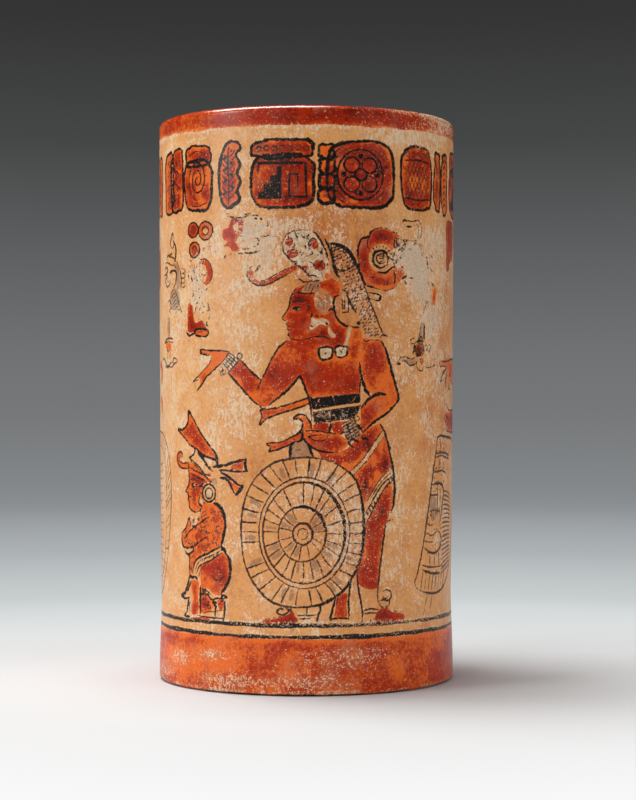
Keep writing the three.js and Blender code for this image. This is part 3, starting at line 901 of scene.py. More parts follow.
def right_pendant(b):
    b.draw("""
area wash: 48.2,136.6 50.6,136.6 50.2,130 47.6,130;
0.6 0.4: 48.3,136.4 47.9,133 46.6,130.2;
1 0.4: 50.6,136.4 50.6,131;
1 0.05: 45,129.8 47.4,130.2 50.4,130;
ring: 48.6,131 0.9,0.9 0.6 0.1;
0.5 0.3: 45.2,129.4 43.2,129.2 42.8,130.6 44.2,131.2 45.6,130.6;
disc: 47.9,127 2.4,2.1 2.2;
ring: 47.9,127.1 2.6,2.3 0.7 0.4;
dot: 47.7,127.1 1.3 0.1;
strokes 0.9 0.1: 44.6,127 44,125.2 / 45.4,125.2 46.8,124.6 / 45.2,128.4 44.6,127.6;
0.5 0.4: 50.6,128.6 52.4,128.6 52.6,127 51,126.4 / 52.2,127.4 53.6,129 55,129 54.4,127 53.2,126;
1.1: 36,121.5 37.6,121.5;
0.5 0.4: 36.2,121.8 37.6,123.8 39.8,124.2 42,123.6 44,123.4 45.2,124.6;
0.6 0.2: 38.4,122.4 40,122.8 41.6,121.4 44,121.2 46.4,122.6;
area wash: 38,123 41,123.4 45,122.6 44,121.4 41,121.8;
0.6 0.3: 46.4,123.6 46,121 47.4,119.4 49.4,119.2 50.4,120.6;
0.5 0.4: 47.8,123.4 49.4,123.6 49.6,122 48,121.4;
0.5 0.3: 50.2,121.6 52.4,120.4 55,120.6 57.6,121.2;
0.9 0.1: 56.2,121 57.8,121.3;
disc: 48.6,122.6 0.9,0.8 -0.2""")


def small_head(b):
    """The small figure's head, with a plain face on even thirds."""
    b.draw("""
area -0.15: -49.4,83.4 -50,80.4 -49.7,78 -50.2,76.2 -51.9,74.4 -50.2,73.6 -50.7,72.6 -50.1,71.9 -50.5,71
-49.8,70 -49.9,68.4 -48,66.8 -45.4,66.4 -43,67.6 -38,67.4 -35.5,70 -36,76 -39,78.6 -44,81;
tint: -44.5,76 4,5 0.7;
scatter 150 0.45 0.42 1.3: -49,75 -49,69 -40,69 -37,78 -44,82 -45,76;
0.55 0.1: -49.6,80.4 -49.7,78 -50.2,76.2 -52,74.4 -51.6,73.7 -50.2,73.5 / -50.2,73.5 -50.7,72.7 -50.1,71.9
-50.6,71.1 -49.9,70.2 -49.9,68.4 -48.4,67 -46,66.4 -44,66.9;
0.4 0.1: -50.1,71.9 -48.6,72;
bare red: -48.6,76.4 -47.4,77 -45.8,76.3 -47.2,75.8;
0.45: -48.7,76.4 -47.4,77.1 -45.6,76.4;
0.35 0.3: -48.4,76.2 -47.2,75.7 -45.9,76.2;
dot: -47.6,76.4 0.75;
0.45 0.1: -49,78.3 -47.3,78.8 -45.2,78.1;
bare red: -46.8,66.4 -43.6,66.8 -43.2,65.6 -45,64.4""")


def small_torso(b):
    b.draw("""
area -0.95: -43.4,66.6 -40,69 -36.5,70.3 -33.6,68.8 -32,66 -31.4,62.4 -31.9,58.6 -33.2,54.2 -37,52.4 -41,50.6
-46,47.8 -47.8,43.6 -49.8,43.4 -50,47 -49.6,50.2 -47.6,52.8 -53.6,52.8 -55,55 -54.8,58.2 -52,60.6 -50.4,63.6
-49.3,63.2 -48.8,60 -46,61.2;
scatter 480 0.45 0.42 1.3: -54.6,57 -50,62 -40,69 -33,67 -32,58 -34,54 -47,46 -49.6,46;
mottle 240 0.9 0.9: -54.6,57 -50,62 -40,69 -33,67 -32,58 -34,54 -47,46 -49.6,46;
tint: -35,60 2.6,5 0.4 / -45,57.6 4,1.8 0.3 / -53.4,57.6 1.6,2 0.6 / -48,49 1.6,2.5 0.4 / -40,67 3,1.6 0.4;
1.05: -37.6,70.4 -35.6,69.9 -33.4,68.6 -31.9,66 -31.3,62.4 -31.9,58.6 -33,55 -33.2,53.9;
0.5 0.3: -44,66.6 -42.6,68.4 -43.6,69.8;
0.6 0.1: -39.2,64.9 -42,63.2 -46,61.3 -49.6,59.2 -52.6,56.6 -53.4,54.9;
0.7 0.1: -39.8,57.5 -43,56 -46.4,53.9 -50,53 -53.6,52.9 -54.9,54.8 -55,57.8;
0.65 0.2: -55.2,58 -52,60.6 -50.4,63.8 -49.4,63.4 -49,60.6;
0.4 0.4: -50.6,61.8 -50,60.6;
0.65 0.2: -53.2,51.9 -51.8,50.5 -49.6,50.8 -47.8,51.6 -47.4,53.4;
0.65 0.1: -49.6,50.4 -50,47 -49.9,43.4;
0.4 0.6: -48.9,47 -48.9,44""")


def small_sash(b):
    """Twisted sash over the hip, a broad kilt and a hanging loincloth."""
    b.draw("""
area 0.05: -33,52.2 -30.6,51 -29.3,47 -29.8,42 -31.6,39 -33.6,36 -36,36 -38,37 -40,38.2 -43,38 -43.6,42
-43.4,46.8 -40,48 -36,50.2;
tint: -34,45 2.4,4 0.6 / -38,40.5 2.6,1.6 -0.9 / -31.4,41 1.6,2 0.5;
bare: -33.4,53.9 -37,52.5 -40,51 -43,50 -46,48.4 -47.6,45.6 -47.9,43.2 -46,43.2 -45.2,45.5 -43,47.4 -39,48.6
-36,50.3 -33,52;
tint: -38,46.5 2.6,2 0.4 / -41.5,42 2,3 -0.6 / -34.5,38.5 2,2 -0.3;
0.6 0.15: -33.4,53.9 -37,52.5 -40,51 -43,50 -46,48.4 -47.6,45.6 -48,43.2;
0.4 0.15: -32.6,52.9 -36.4,51.2 -39.4,50 -43,48.8 -45.2,47 -46.6,44.6;
0.6 0.15: -32.8,51.9 -36,50 -39,48.4 -43,47.1 -45,45.2 -46,43.2""")
    for k in range(9):
        t = k / 8
        b.line([(-34.6 - 7.6 * t, 51.8 - 2.6 * t), (-35 - 7.6 * t, 50.5 - 2.6 * t)], 0.4, 0.4)
    b.draw("""
1.3: -33.2,53.6 -32,52.9 -31,51.6;
0.95: -31.4,51.8 -29.9,50 -29.2,47 -29.7,42.4 -31.4,39.2 -33.2,36.8;
0.55 0.2: -37.6,43.2 -36.2,41.8 -34,41.6 -32.4,42.8 -31.2,43.3;
0.4 0.6: -40.2,47.6 -43.6,44.6 -44.6,42.2""")


def small_legs(b):
    b.draw("""
area -0.35: -44,37.4 -40,36 -37.6,34.2 -37,31.4 -40,29 -43.6,29.4;
tint: -41.4,32.6 2.2,2 1.4;
scatter 14 0.8 0.5 0.2: -43.4,36 -38,35 -37.4,31 -43,29.6;
scatter 8 0.6 0.5 0.2: -35,34.4 -32,34.2 -32.4,31 -35,30.6;
tint: -38.4,33 1.6,2 -0.3;
area 0.5: -35,34.4 -32,34.2 -32.4,31.4 -33.6,30.4 -34.8,31.6;
0.9: -43.6,39 -43.9,33 -43.8,28.6;
0.6 0.1: -43.4,36 -40,35.9 -37.8,34.2 -35.4,34.8 -31,35;
0.5 0.3: -43.2,38 -40.4,37.4 -38.2,35.8;
strokes 0.9: -42.4,38 -42,36.2 / -41.2,37.6 -41,36.2 / -32.4,36.2 -30.8,35.2 / -33,36 -33,34.8 / -37.6,33.2
-36,33.2 / -36.6,32.4 -35.6,31.6;
0.8: -31.7,34 -31.8,30 -32.5,26.8;
0.5 0.3: -36.2,33.4 -36.1,30 -36.4,27.6;
0.4 0.4: -42,29.2 -38,29.8 -36.2,29.6;
0.35 0.5: -36,29.9 -33,30.6 -31.9,30.2;
0.6 0.1: -46,27.8 -40,27.6 -36,27.4 -32.8,27.6;
area 0.6: -50,26.4 -44,27.4 -39.6,27.4 -39,26.4""")


def small_loincloth(b):
    b.draw("""
area -0.2: -49,40.6 -46.4,41 -44.4,40 -45,34 -44.4,31 -46,28 -49,28.4 -49,31.6 -48,34 -49,37;
tint: -47,36.4 1.4,2.4 0.35 / -47.2,30.6 1.8,1.6 0.4;
strokes 1 pale: -46.6,41 -46,40.2 / -47.6,33.2 -46.6,32.8 / -44.8,34.8 -45.2,33.6 / -50,31.4 -49.4,30.2;
1.1: -49.8,42.6 -48.6,41.8 -46.4,42.2 -45.4,41.4;
0.85: -49.9,42.4 -51.4,38.6 -53.4,35.6 -55.8,34.7 -53,33.7 -50.2,34.4 / -50.6,34.2 -51.2,31.4 -52,28.6
-53.2,27.2 -50,27;
0.55 0.2: -49.2,40.4 -50.4,38.2 -51.4,36.4;
0.4 0.4: -52.2,35 -50.6,35.2;
0.4 0.5: -49.8,33.2 -50.4,30.6 -49.6,28.8""")


def small_cap(b):
    """Wrapped cap with a tall stiff ribbon, a hook in front and two tied ends behind."""
    b.draw("""
shape -0.45 0.7 0.05: -57.2,97.2 -54,97 -51.4,98.4 -50.2,100.6 -49.9,104.2 -46.9,101 -43,96 -39,91.8
-35.8,88.6 -34.9,86.2 -38,86.7 -42,87.9 -46,90.2 -49.4,91.6 -52.2,93.8 -55,95.4;
tint: -50,96 3,2 0.25;
strokes 0.9: -50.2,104 -49.2,103.2 / -57,97.2 -55.4,96.8 / -35.6,88.4 -34.9,86 -35,84.2;
bare: -49.8,86.6 -47,88 -46,90 -43.6,88.2 -40.4,86.6 -37.6,85.4 -35.4,84 -33.6,82 -34.6,79.6 -38,78.4
-42,79.8 -46,81.4 -49.6,82;
area -0.5: -49.6,84.4 -46.4,84.2 -43,82.2 -39.6,79.6 -36.4,78.8 -38.6,77.6 -42,79.2 -46,81 -49.4,81.6;
disc: -38.6,80.4 0.9,0.8 -0.2;
0.6 0.1: -46,90.4 -46.4,88.8 -48,87.2 -50,86.8 -48.8,86.2 -48.2,85;
0.6 0.2: -45.8,90.6 -43.4,88.2 -41.4,86.2 -39.4,83.6 -37.8,83;
0.5 0.3: -44.6,88.4 -42,86 -39.6,83.4 -36.8,81.6;
0.5 0.2: -49,86.2 -46,84.6 -43,82.6 -41,80.8 -38.4,80.2;
0.45 0.3: -48.6,85 -45.8,83.4 -43,81.8 -40.6,80.2;
0.5 0.2: -49.8,83.4 -47,82 -43,80.8 -40.2,79.6 -37.6,77.6;
0.9 pale: -49.4,81.9 -46,80.4 -42.6,79.4 -39.8,78.4;
0.5 0.3: -49.2,81.1 -46,79.8 -42,78.6 -39.6,77.2;
0.6 0.1: -50,84.6 -50.2,82.6 -49.9,80.6 -49.8,78.4;
2 red ends=0.7: -49.6,83.8 -52.6,83.4 -55.6,83.9 -57.4,85.6 -57,87.4 -55.6,88;
0.55 0.2: -49.8,82.9 -52.8,82.5 -56,83 -58,85.2 -57.4,87.8 -55.4,88.8 -54.2,87.8 -54.6,86.6;
0.45 0.3: -50.2,84.8 -52.6,84.4 -55,84.7 -56.4,86 -55.8,87 -54.8,86.4;
0.85: -36.8,83.4 -32,84 -27,85.4 -22.4,86.6;
0.7 0.1: -34.4,82.4 -30,82.2 -26,81.9 -22.2,82.1;
0.9: -22.4,86.6 -22.9,84.6 -22,82;
area -0.1: -28.2,84.4 -23.4,85.6 -23.6,83.4 -23.8,82.6 -28.4,82.8;
dot: -28.2,82.6 0.8;
0.7 0.1: -33.4,81.4 -31,80.6 -28.4,79 -25.4,76.9 -23.6,76.9 / -34,79.4 -31,79.2 -29.2,77.4 -27.6,74.4
-26.4,73.4;
1: -23.6,76.9 -24.8,75.2 -26.4,73.4;
area 0.1: -29,78.4 -25.4,76.2 -26.4,74.4 -28.6,76.8;
dot wash: -36.4,77.8 1.6 0.6""")


def ear_disc(b):
    b.draw("""
bare: -42.2,76 -38.8,77.6 -35.6,75.6 -35.6,71.4 -38.4,69.8 -41.8,71.2;
ring: -38.9,73.7 3.2,3.3 0.65 0.1 / -38.9,73.6 1.8,2 0.55 0.2;
disc pale: -38.9,73.6 1.5,1.7;
bare red: -44,71.6 -42.4,71.8 -42,69.4 -43.4,69 -44.2,70;
0.5 0.2: -43.8,72 -44.3,70 -43.2,68.8 -41.9,69.2;
0.6 0.1: -44.4,75.8 -42.8,76.2 -41.6,75.4;
0.5 0.3: -41.8,76.6 -42.6,78.6""")


def small_figure(b):
    """Small figure with folded arms."""
    small_torso(b)
    small_sash(b)
    small_legs(b)
    small_loincloth(b)
    small_head(b)
    small_cap(b)
    ear_disc(b)


def standing_figure(b):
    """Tall figure in a netted turban, seen from the side, one hand out and one on a shield."""
    legs_and_kilt(b)
    cloth_end(b)
    torso_and_arms(b)
    pointing_hand(b)
    cuff(b, "-24.6,123.2 -29.6,118.4", "-29,126 -32.6,121.6", "-33,119.6 -31.6,118.4 -32.4,118")
    b.draw("""
ring: -24.9,124.4 1.1,1 0.45 0.5;
disc pale: -24.9,124.4 0.8,0.8""")
    belt(b)
    sash(b)
    resting_hand(b)
    head(b)
    ear_cloth(b)
    round_ornament(b)
    netted_tail(b)
    turban(b)
    flower_stem(b)
    beads(b)
    bracket_mark(b)


def left_pendant(b):
    """Hanging ornament of curls and feathers, in thin grey-brown line."""
    b.draw("""
0.7 0.65: -62.6,168.6 -62.4,171 -61.2,171.4 -61,169.4;
0.6 0.65: -62.8,170 -63.6,167.4 -61.6,165.6 -60.4,167.4 -61.4,169.4;
0.8 0.65: -61,168.6 -58.8,166 -58.6,162.6 -59.6,160.6;
0.6 0.65: -67.6,161.6 -66.2,163.2 -63.6,162.6 -60.6,161.8 -57.6,160 -55.6,157.4;
0.5 0.65: -69.4,160.2 -66.4,160.6 -62.4,159.4 -59.6,159 -57.2,157;
0.6 0.65: -70.6,156 -68.2,156.2 -66,157.8 -68.4,158.8 -70,157.8;
0.7 0.65: -64.4,156.6 -61.4,157.2 -58.6,156.6 -57.8,154.6;
0.6 0.65: -66.8,155.4 -69,153.8 -67.6,151.6 -64.8,151.8 -63.4,154;
0.45 0.65: -65.2,153.6 -66.6,153 -66.8,154.4;
0.55 0.65: -55.4,157.2 -54.6,154 -54.8,150.4;
0.6 0.65: -58.4,155.4 -58.6,152.6 -60.6,150.6;
0.5 0.65: -66.4,145.4 -64,146 -62.6,143.4 -64.4,142.2 -62,140.6 / -66,140 -66.4,136 -65.8,132.4;
0.45 0.65: -64.2,139.6 -64.4,136 -64.2,132.6;
0.6 0.65: -70.4,130.4 -66.4,131.6 -61,131.4;
0.5 0.65: -70.4,129.8 -66,130.4 -61.4,130;
0.4 0.65: -68.4,129 -66.4,126.6 -63.4,127.6;
0.35 0.65: -67,126.4 -67.4,123.4 -68.8,121 / -64,126.6 -64.2,123.4 -63,121;
0.55 0.65: -74.4,123.2 -71.4,124 -69,122.4 -66.4,121 -64,122 -62,122.6;
0.7 0.65: -70.4,121.4 -67.4,120.7 -64.6,121 -62.2,120.7 -60.4,122 -58,122.4;
0.6 0.65: -61.6,121.8 -61,123.8 -59,124 -57.6,122.8""", bolder=1.3)
    b.draw("""
dot: -62.4,163.6 1.1 0.2;
scatter 60 0.8 0.4 0.9: -66,166 -58,166 -55,150 -62,144 -68,152;
dot: -63.6,163.4 0.9 0.4""")
    for k in range(4):
        v = 150.6 + 1.75 * k
        b.line([(-54.6, v), (-52.6, v - 0.1), (-51.8, v + 0.8), (-52.8, v + 1.6), (-54.4, v + 1.5)],
               0.5, 0.5)
    for k in range(7):
        u, v = -60.6 + 0.7 * k, 150.4 - 1.25 * k
        b.line([(u - 3, v - 2.4), (u - 0.4, v - 0.6), (u + 2.2, v - 1.6), (u + 3, v - 3)], 0.5, 0.9)
    b.draw("""
area wash: -60.4,160 -56,158 -55.6,151 -58,150 -58.4,155.6 / -63,149.4 -57,150 -55.6,144 -60,142 -64.4,144 /
-66,139 -64.4,139 -64.4,132.6 -65.8,132.4;
area -0.5: -69,129.3 -66,130 -62.9,129.4 -64,127.3 -67,127.2""")


def small_column(b):
    """Narrow column of small rounded ornaments, half worn away."""
    for at, across in (((-40.2, 171), (3.6, 3.4)), ((-46.9, 171.6), (2.9, 2.8)),
                       ((-46.1, 164.2), (3, 2.9))):
        b.disc(at, across, 0.5)
        b.ring(at, across, 0.75, 0.1)
        b.ring(at, (across[0] * 0.45, across[1] * 0.45), 0.55, 0.3)
    b.draw("""
bare red: -41.6,171 -40,171.6 -38.4,170.6 -40,169.6;
disc: -41,164.2 0.9,0.9 0.4;
area 0.2: -38.4,166.4 -37.4,164.4 -38.6,163.6 -39.4,165;
2.2 red ends=0.4: -43,159.2 -40.6,159.4 -38.4,157.4 -37.8,154.6 -39,152.4 -41,151.6;
0.55 0.2: -44,160 -40.4,160.6 -37.6,158 -36.9,154.4 -38.4,151.8 -40,150.8;
strokes 0.9 red: -48,159.6 -47.4,157.4 / -46.6,158.2 -45.6,157.4 / -47.4,149 -45.4,149 -44,148.6 / -42.6,149
-42,148.2 / -46.8,148.8 -46.6,147;
strokes 0.7 0.15: -46.6,157 -46,155.6 / -48.6,160.4 -47.6,159.8 / -48,154.4 -47.4,152.6 / -45.4,153.6
-44.4,152.4 / -46,155 -45,154 / -49.8,155 -49.4,154 / -45.2,144 -44.4,144.6 / -45.6,142.6 -45.8,141.6 /
-39,144.4 -38.4,141.6 / -38.6,139.4 -38.2,138 / -40,136.2 -39,135.6 / -41.4,143 -40.6,142.6;
area 0.7: -49.8,144 -47.4,143.8 -46.8,140 -45.6,137 -42.4,138 -40.4,136 -40,134.2 -46,133.6 -50,133.8
-50.4,139;
bare red: -45.4,143 -42,142 -40,139.4 -42.6,138.4 -45,139.4;
0.9: -50.6,135 -50.8,133.4 -49.4,132.4 -47,132.9 -45.6,133.4;
shape -0.1: -45.8,134.4 -43,134.6 -39.6,134.4 -38.8,133.2 -39.8,131.8 -43,131.9 -45.8,132.6;
0.4 0.3: -44.4,133.6 -41.4,133.6;
scatter 40 0.8 0.5 0.5: -50,161 -38,161 -37.6,136 -49,136""")


def worn_fragment(b):
    """What is left of a larger block: a red patch and bits of its outline."""
    b.draw("""
area 0.8: -28.4,174.6 -25.6,175.2 -23.2,174.4 -23.6,169.6 -25.4,168 -26.2,166 -25,163.4 -27.6,162.8
-29.4,164.6 -31.6,164.8 -29.8,166.6 -32,167.4 -31.8,171 -29.6,171.6;
bare red: -27.6,172.4 -25.8,172.8 -25.4,170.8 -27,170.6;
0.7 0.1: -30,175.8 -27,175.3 -23.4,175.1 -21.6,175.6;
0.5 0.3: -30.4,176.6 -28.6,177.2;
strokes 0.75 0.2: -22.6,176.2 -20.6,176.3 / -19.6,175.9 -17.4,175.6 / -16.8,174.8 -16.2,174 / -14.2,174
-13.8,172.6 -14,171.6 / -19,174.6 -18,174.4 / -17.8,167.4 -17.2,166.6 / -17.4,166 -17.8,165 / -23.4,163.5
-20.9,163.7 / -25.2,162 -23.6,161.8 / -22.4,162 -19.4,162 -17,162.8 / -27.6,161.6 -26.6,161.6 / -30.6,161.4
-31.2,160.6 / -19.2,164.4 -18.6,164.2 / -16.4,167.8 -13.6,168.2;
strokes 0.8 red: -18.8,172.6 -18.2,171.8 / -19.8,167.2 -18.6,167.6 / -23.4,166.4 -22.6,166.2 / -29.4,161.6
-28,162;
scatter 30 0.6 0.4 0.7: -30,176 -14,176 -14,162 -22,162""")


def fan(b):
    """Large feather fan on a staff, in thin brown line."""
    outline = places("-97,83 -95.4,89 -92,93.4 -87,95.6 -82,96 -77.6,95.8 -73,94.8 -69.4,92.2 -66.6,88.4 "
                     "-64.9,84 -64,78 -63.8,72 -64.4,66 -65.4,60 -66.8,54 -68.8,48 -71.6,42 -75.4,36.6 "
                     "-80.6,33.6 -86,34.4 -90.6,38.4 -94,45 -96.4,54 -97.6,64 -97.8,74")
    b.bare(outline)
    b.line(outline, 0.65, 0.5, loop=True)
    inner = curved(places("-90.8,84 -88.6,88 -84,90.2 -78,90.2 -73.6,88 -71,84 -70,78 -69.8,72 -70,66 "
                   "-70.4,60 -71.2,54 -72.8,48 -76,42.6 -80.6,39.8 -85,41.4 -88.4,46 -90.6,54 -91.6,64 "
                   "-91.6,74"), True)
    b.line(inner, 0.55, 0.75, loop=True, curve=False)
    outer = curved(outline, True)
    for k in range(46):
        near = inner[int((k + hand.uniform(-0.15, 0.15)) / 46 * len(inner)) % len(inner)]
        far = outer[int(k / 46 * len(outer)) % len(outer)]
        if hand.uniform() < 0.9:
            b.line([near, (near + far) / 2 + (0, 0.25), far], 0.5, hand.uniform(0.35, 0.9))
    for k in range(15):
        v = 84 - 2.9 * k
        b.line([(-88 + 0.06 * k, v), (-80.6, v - 0.8 + 0.1 * k), (-73.4, v + 0.2)], 0.45, 0.85)
    b.draw("0.5 0.6: -81,90 -80.8,62 -81.4,40")


def bundle(b):
    """Tall woven bundle on a handle, with a row of quills along one side, in thin brown line."""
    b.draw("""
0.95 0.35: 60.2,93 58.8,87 57,80 54.8,71 52.4,61 50,52 47.8,45 45.7,40.2;
1 0.3: 60,92 60.6,93.8 63,94.6 67,94.4 72,93.9 78,93.2 84,90.4;
0.95 0.4: 45.6,39.8 46.6,38.2 50,36.6 54,35.6 59,35.2 64,35.8 68,37.4 72.4,41 76.4,46 80,53 83,62 85,72
85.6,82 84,90.4""")
    b.draw("""
0.7 0.45: 59.2,87.8 64,88.3 69,87.8 74,87 / 58.8,86.5 64,86.9 69,86.4 74,85.4;
0.6 0.45: 58,80.9 62,81.3 66,81.1 70,80;
0.8 0.45: 56.6,76.2 60.5,76.6 64.4,76.1 66.5,74 66.2,70.6 65,67 64,63.4 62.8,61.4;
0.5 0.45: 55,72 58,72.4 61.4,72 / 60.8,76 60.8,70 61,64;
0.45 0.45: 63.6,74.6 63.4,69 62.4,63.4;
0.4 0.45: 54,66 58,66.6 63.4,66;
0.6 0.45: 53,62 55.4,61 57.6,61.4;
0.5 0.45: 52.4,59 55,57.4 58,57.4 60.6,58.6;
0.7 0.45: 61,58.8 63.4,57.6 64.7,55 63.6,52.4 61,50.8 57.6,50.4 54,51.2 51.2,53;
0.4 0.45: 50.6,55.6 54,54.8 58,54.6;
0.6 0.45: 50.2,46.4 54,45.4 60,45 67,45.2;
0.7 0.45: 50,44.6 54,43.4 58,42.7 63.8,42.5;
0.4 0.45: 63.6,94.2 63,88 / 62.6,85.8 61.4,80 / 67,86 66.4,81;
0.5 0.45: 62.4,50.4 62.8,45;
0.4 0.45: 55.4,50 55,45.6 / 58.6,50.2 58.6,45.2""", bolder=1.3)
    for k in range(8):
        u = 49.5 + 2.5 * k
        b.line([(u + 1.2, 43.6), (u + 0.3, 40), (u - 0.2, 36.6)], 0.6, hand.uniform(0.4, 0.9))
    for k in range(19):
        v = 73.6 - 1.75 * k
        start = 66.4 - 0.1 * k
        b.line([(start, v), (start + 5, v - 0.6 + 0.12 * k), (start + 11, v - 2.4 + 0.3 * k)], 0.8,
               hand.uniform(0.4, 0.9))
    b.draw("""
scatter 170 1 0.5 0.8: 60,93 72,92 70,80 66,66 64,47 52,44 52,56 56,74;
area wash: 55,71 59.6,71.4 60,64 56,63;
0.55 0.4: 53.8,35.6 52.6,32 51.4,29 50.8,27.6;
0.5 0.5: 57.2,35.2 56.2,31.6 55.4,29""")


def side_bars(b):
    """Upright red bars at both sides of the front, as parts of the next figures' dress."""
    b.draw("""
shape 0.5 0.6 0.6: 69.2,176 69,166 69.4,158.4 71.5,158 74.5,161.2 79.5,163.6 80.4,170 80.2,176.2 75,176.6;
strokes 0.5 0.6: 72,175.6 71.8,169 / 71.6,167.6 71.8,161 / 75.4,175 75.2,166;
area 0.2: -84,165 -84,152 -79.2,152.4 -79,165.4;
0.5 0.3: -78.8,165.6 -79,152;
strokes 2.2 red: -80.4,122 -77,121.2 -75.4,118 -77.4,114.6 / -80,108.6 -76.6,107.4 -75.6,103.6;
strokes 0.6 0.2: -79.6,123.4 -76,122.2 -74.2,118 -76,113.6 / -79.4,110 -75.4,108.4 -74.4,103""")


def far_hands(b):
    """The next figure's hands: one held out, one closed on the bundle."""
    b.draw("""
area -0.9: 62.4,122.2 66,122.8 72,123.5 80,124 99,122.7 99,115.4 84,114.6 76,115.8 72,118.4 69.4,120.6
64,121.2;
0.75 0.2: 62.2,122 64,122.9 70,123 76,123.8 84,124.2 99,122.8;
0.7 0.3: 75,116 79,115 84,114.4 99,115.4;
0.6 0.3: 62.2,121.8 62.8,121 67,121.1 70,120.8;
1.2 0.9: 70,120.4 66.6,119 64.4,117.2 63,115.6 / 71,118.8 69,116.6 68,113.6 / 63.2,115.4 64.8,115.8 /
67.8,113.4 69.2,113.2 / 74,117.6 76.4,118 / 74,115 73,112.6 75.6,112.4;
area 0.2: 67.6,101.6 69,103.4 74,103.6 80,103.8 99,103.4 99,96.4 84,95.6 76,96 71,97.4;
tint: 80,99 7,3 0.6;
0.9 0.4: 67.6,106.4 69.6,106.6 71.6,105 75,104.2 84,104.2 99,103.5;
0.9 0.3: 67.4,102.4 67.6,100.8 69,99.6 69.4,97.6 71,96.4 75,96 82,95.6 99,96.3;
0.7 0.4: 68.4,103 70.4,101.6 73,101;
0.6 0.4: 84.4,90.4 82,93.4 80.4,96""")


def companion_hands(b):
    """Hands that reach for the fan."""
    b.draw("""
shape -0.4 0.8: -19,122.8 -23,122.6 -27,124.4 -29.4,123.4 -26.2,121 -30,120.4 -30.2,118.8 -25.4,118.2
-23,116.4 -19,115.6;
shape 0 0.8: -19,103.4 -23.6,104 -26.6,102.2 -26.8,98.4 -23.6,96 -19,96.4;
strokes 0.5: -26.6,100.8 -23.4,100.9 / -26.8,99 -23.8,99 / -26,102.6 -23.8,102.2""")


def companion(b):
    """Tall figure in a long patterned skirt, for the side that the front view doesn't show."""
    b.draw("""
area 0.2: -6,130.4 -8.6,124 -9.6,117.4 -14,117.2 -20.5,115.6 -20.5,122.6 -13,124 -9,128;
area 0.05: 0,131.5 -6.4,130.2 -9.4,120 -5,113 -3.8,106 21.5,106 22.6,116 24.4,126 21,130.6 12,132.5;
area -0.1: 20,130.4 24.6,128.6 27,122 27.6,114 25.4,106 20,100.4 12,98.4 0,97.6 -20.5,96.4 -20.5,103.4
-6,104.4 8,105.4 14,108 16.4,112 15.4,118;
tint: 0,122 5,6 -0.3 / 14,124 5,4 0.3 / 22,110 3,6 -0.5 / 4,100 8,2 0.3 / -14,120 4,2 0.4;
0.9: -6.4,130 -9,127.8 -13,124.2 -20.5,122.8 / -20.5,115.4 -14,117 -9.4,117.4 -6.4,114 -5.2,109.6 -4.8,104.6;
0.6: -8.6,121 -6.6,123.6;
1: 24.4,129 27,122 27.7,114 25.5,106 20,100.2 12,98.2 0,97.4 -20.5,96.2;
0.9: 15.4,119 16.5,112.4 14,108 8,105.3 -6,104.2 -20.5,103.4""")
    cuff(b, "-10.6,103.9 -10.6,97", "-15,103.6 -15,96.8", "-10.6,105.2 -13,105.2")
    skirt = places("-4.8,97.6 20.6,100 25.4,94 29,84 31,70 31.5,56 30,40 22,36.4 10,35 -2,36 -9,39 -10,52 "
                   "-8.6,68 -6.6,84")
    b.bare(skirt)
    b.area(skirt, -0.25)
    for v in (88, 66, 44):
        b.bare([(-7.4, v), (10, v + 2), (27.4, v), (28.2, v + 6), (10, v + 8), (-6.6, v + 6)])
        b.area([(-7.2, v + 1), (10, v + 3), (27.2, v + 1), (27.8, v + 5), (10, v + 7), (-6.6, v + 5)],
               layer="pale")
        for edge in (0, 6):
            w = v + edge
            b.line([(-8, w), (0, w + 1.4), (10, w + 2), (20, w + 1.4), (29, w)], 0.6, 0.1)
        for k in range(12):
            u = -5.4 + 2.9 * k
            rise = 2 - ((u - 10) / 17) ** 2 * 2
            b.line([(u - 1, v + rise + 1.2), (u, v + rise + 4.6), (u + 1, v + rise + 1.2)], 0.5, 0.2)
    for centre in ((2, 79), (16, 80), (-1, 57), (11, 58.5), (23, 57)):
        b.ring(centre, (3.4, 3.6), 0.8, 0.1)
        b.disc(centre, (2.4, 2.6), layer="pale")
        b.disc(centre, (1.3, 1.4), 0.4)
    b.line(skirt, 1.0, 0.05, loop=True)
    for k in range(19):
        u = -7.6 + 2.05 * k
        base = 36.6 + 2.6 * ((u - 10) / 20) ** 2
        b.line([(u, base), (u + 0.3, base - 3)], 0.5, 0.4)
    for u in (0, 18):
        b.line([(u, 33.2), (u + 0.4, 30), (u + 0.2, 27)], 0.8)
        b.line([(u + 6, 33), (u + 6, 30), (u + 6.6, 27)], 0.8)
        b.line([(u, 30.4), (u + 6, 30.4)], 0.5, 0.2)
        b.area([(u - 9, 26.5), (u - 6.4, 28), (u - 2, 29.2), (u, 30.2), (u + 6, 30), (u + 7, 26.6)])
        b.line([(u - 9, 26.8), (u - 6.4, 28.3), (u - 2, 29.5), (u, 30.5)], 0.4, 0.5)
    b.draw("shape 0.1 0.8: -5,100 -9,96 -14,93 -17,88 -13,89 -9,88 -6,91")
    head(b)
    ear_cloth(b)
    netted_tail(b)
    turban(b)
    flower_stem(b)
    beads(b)


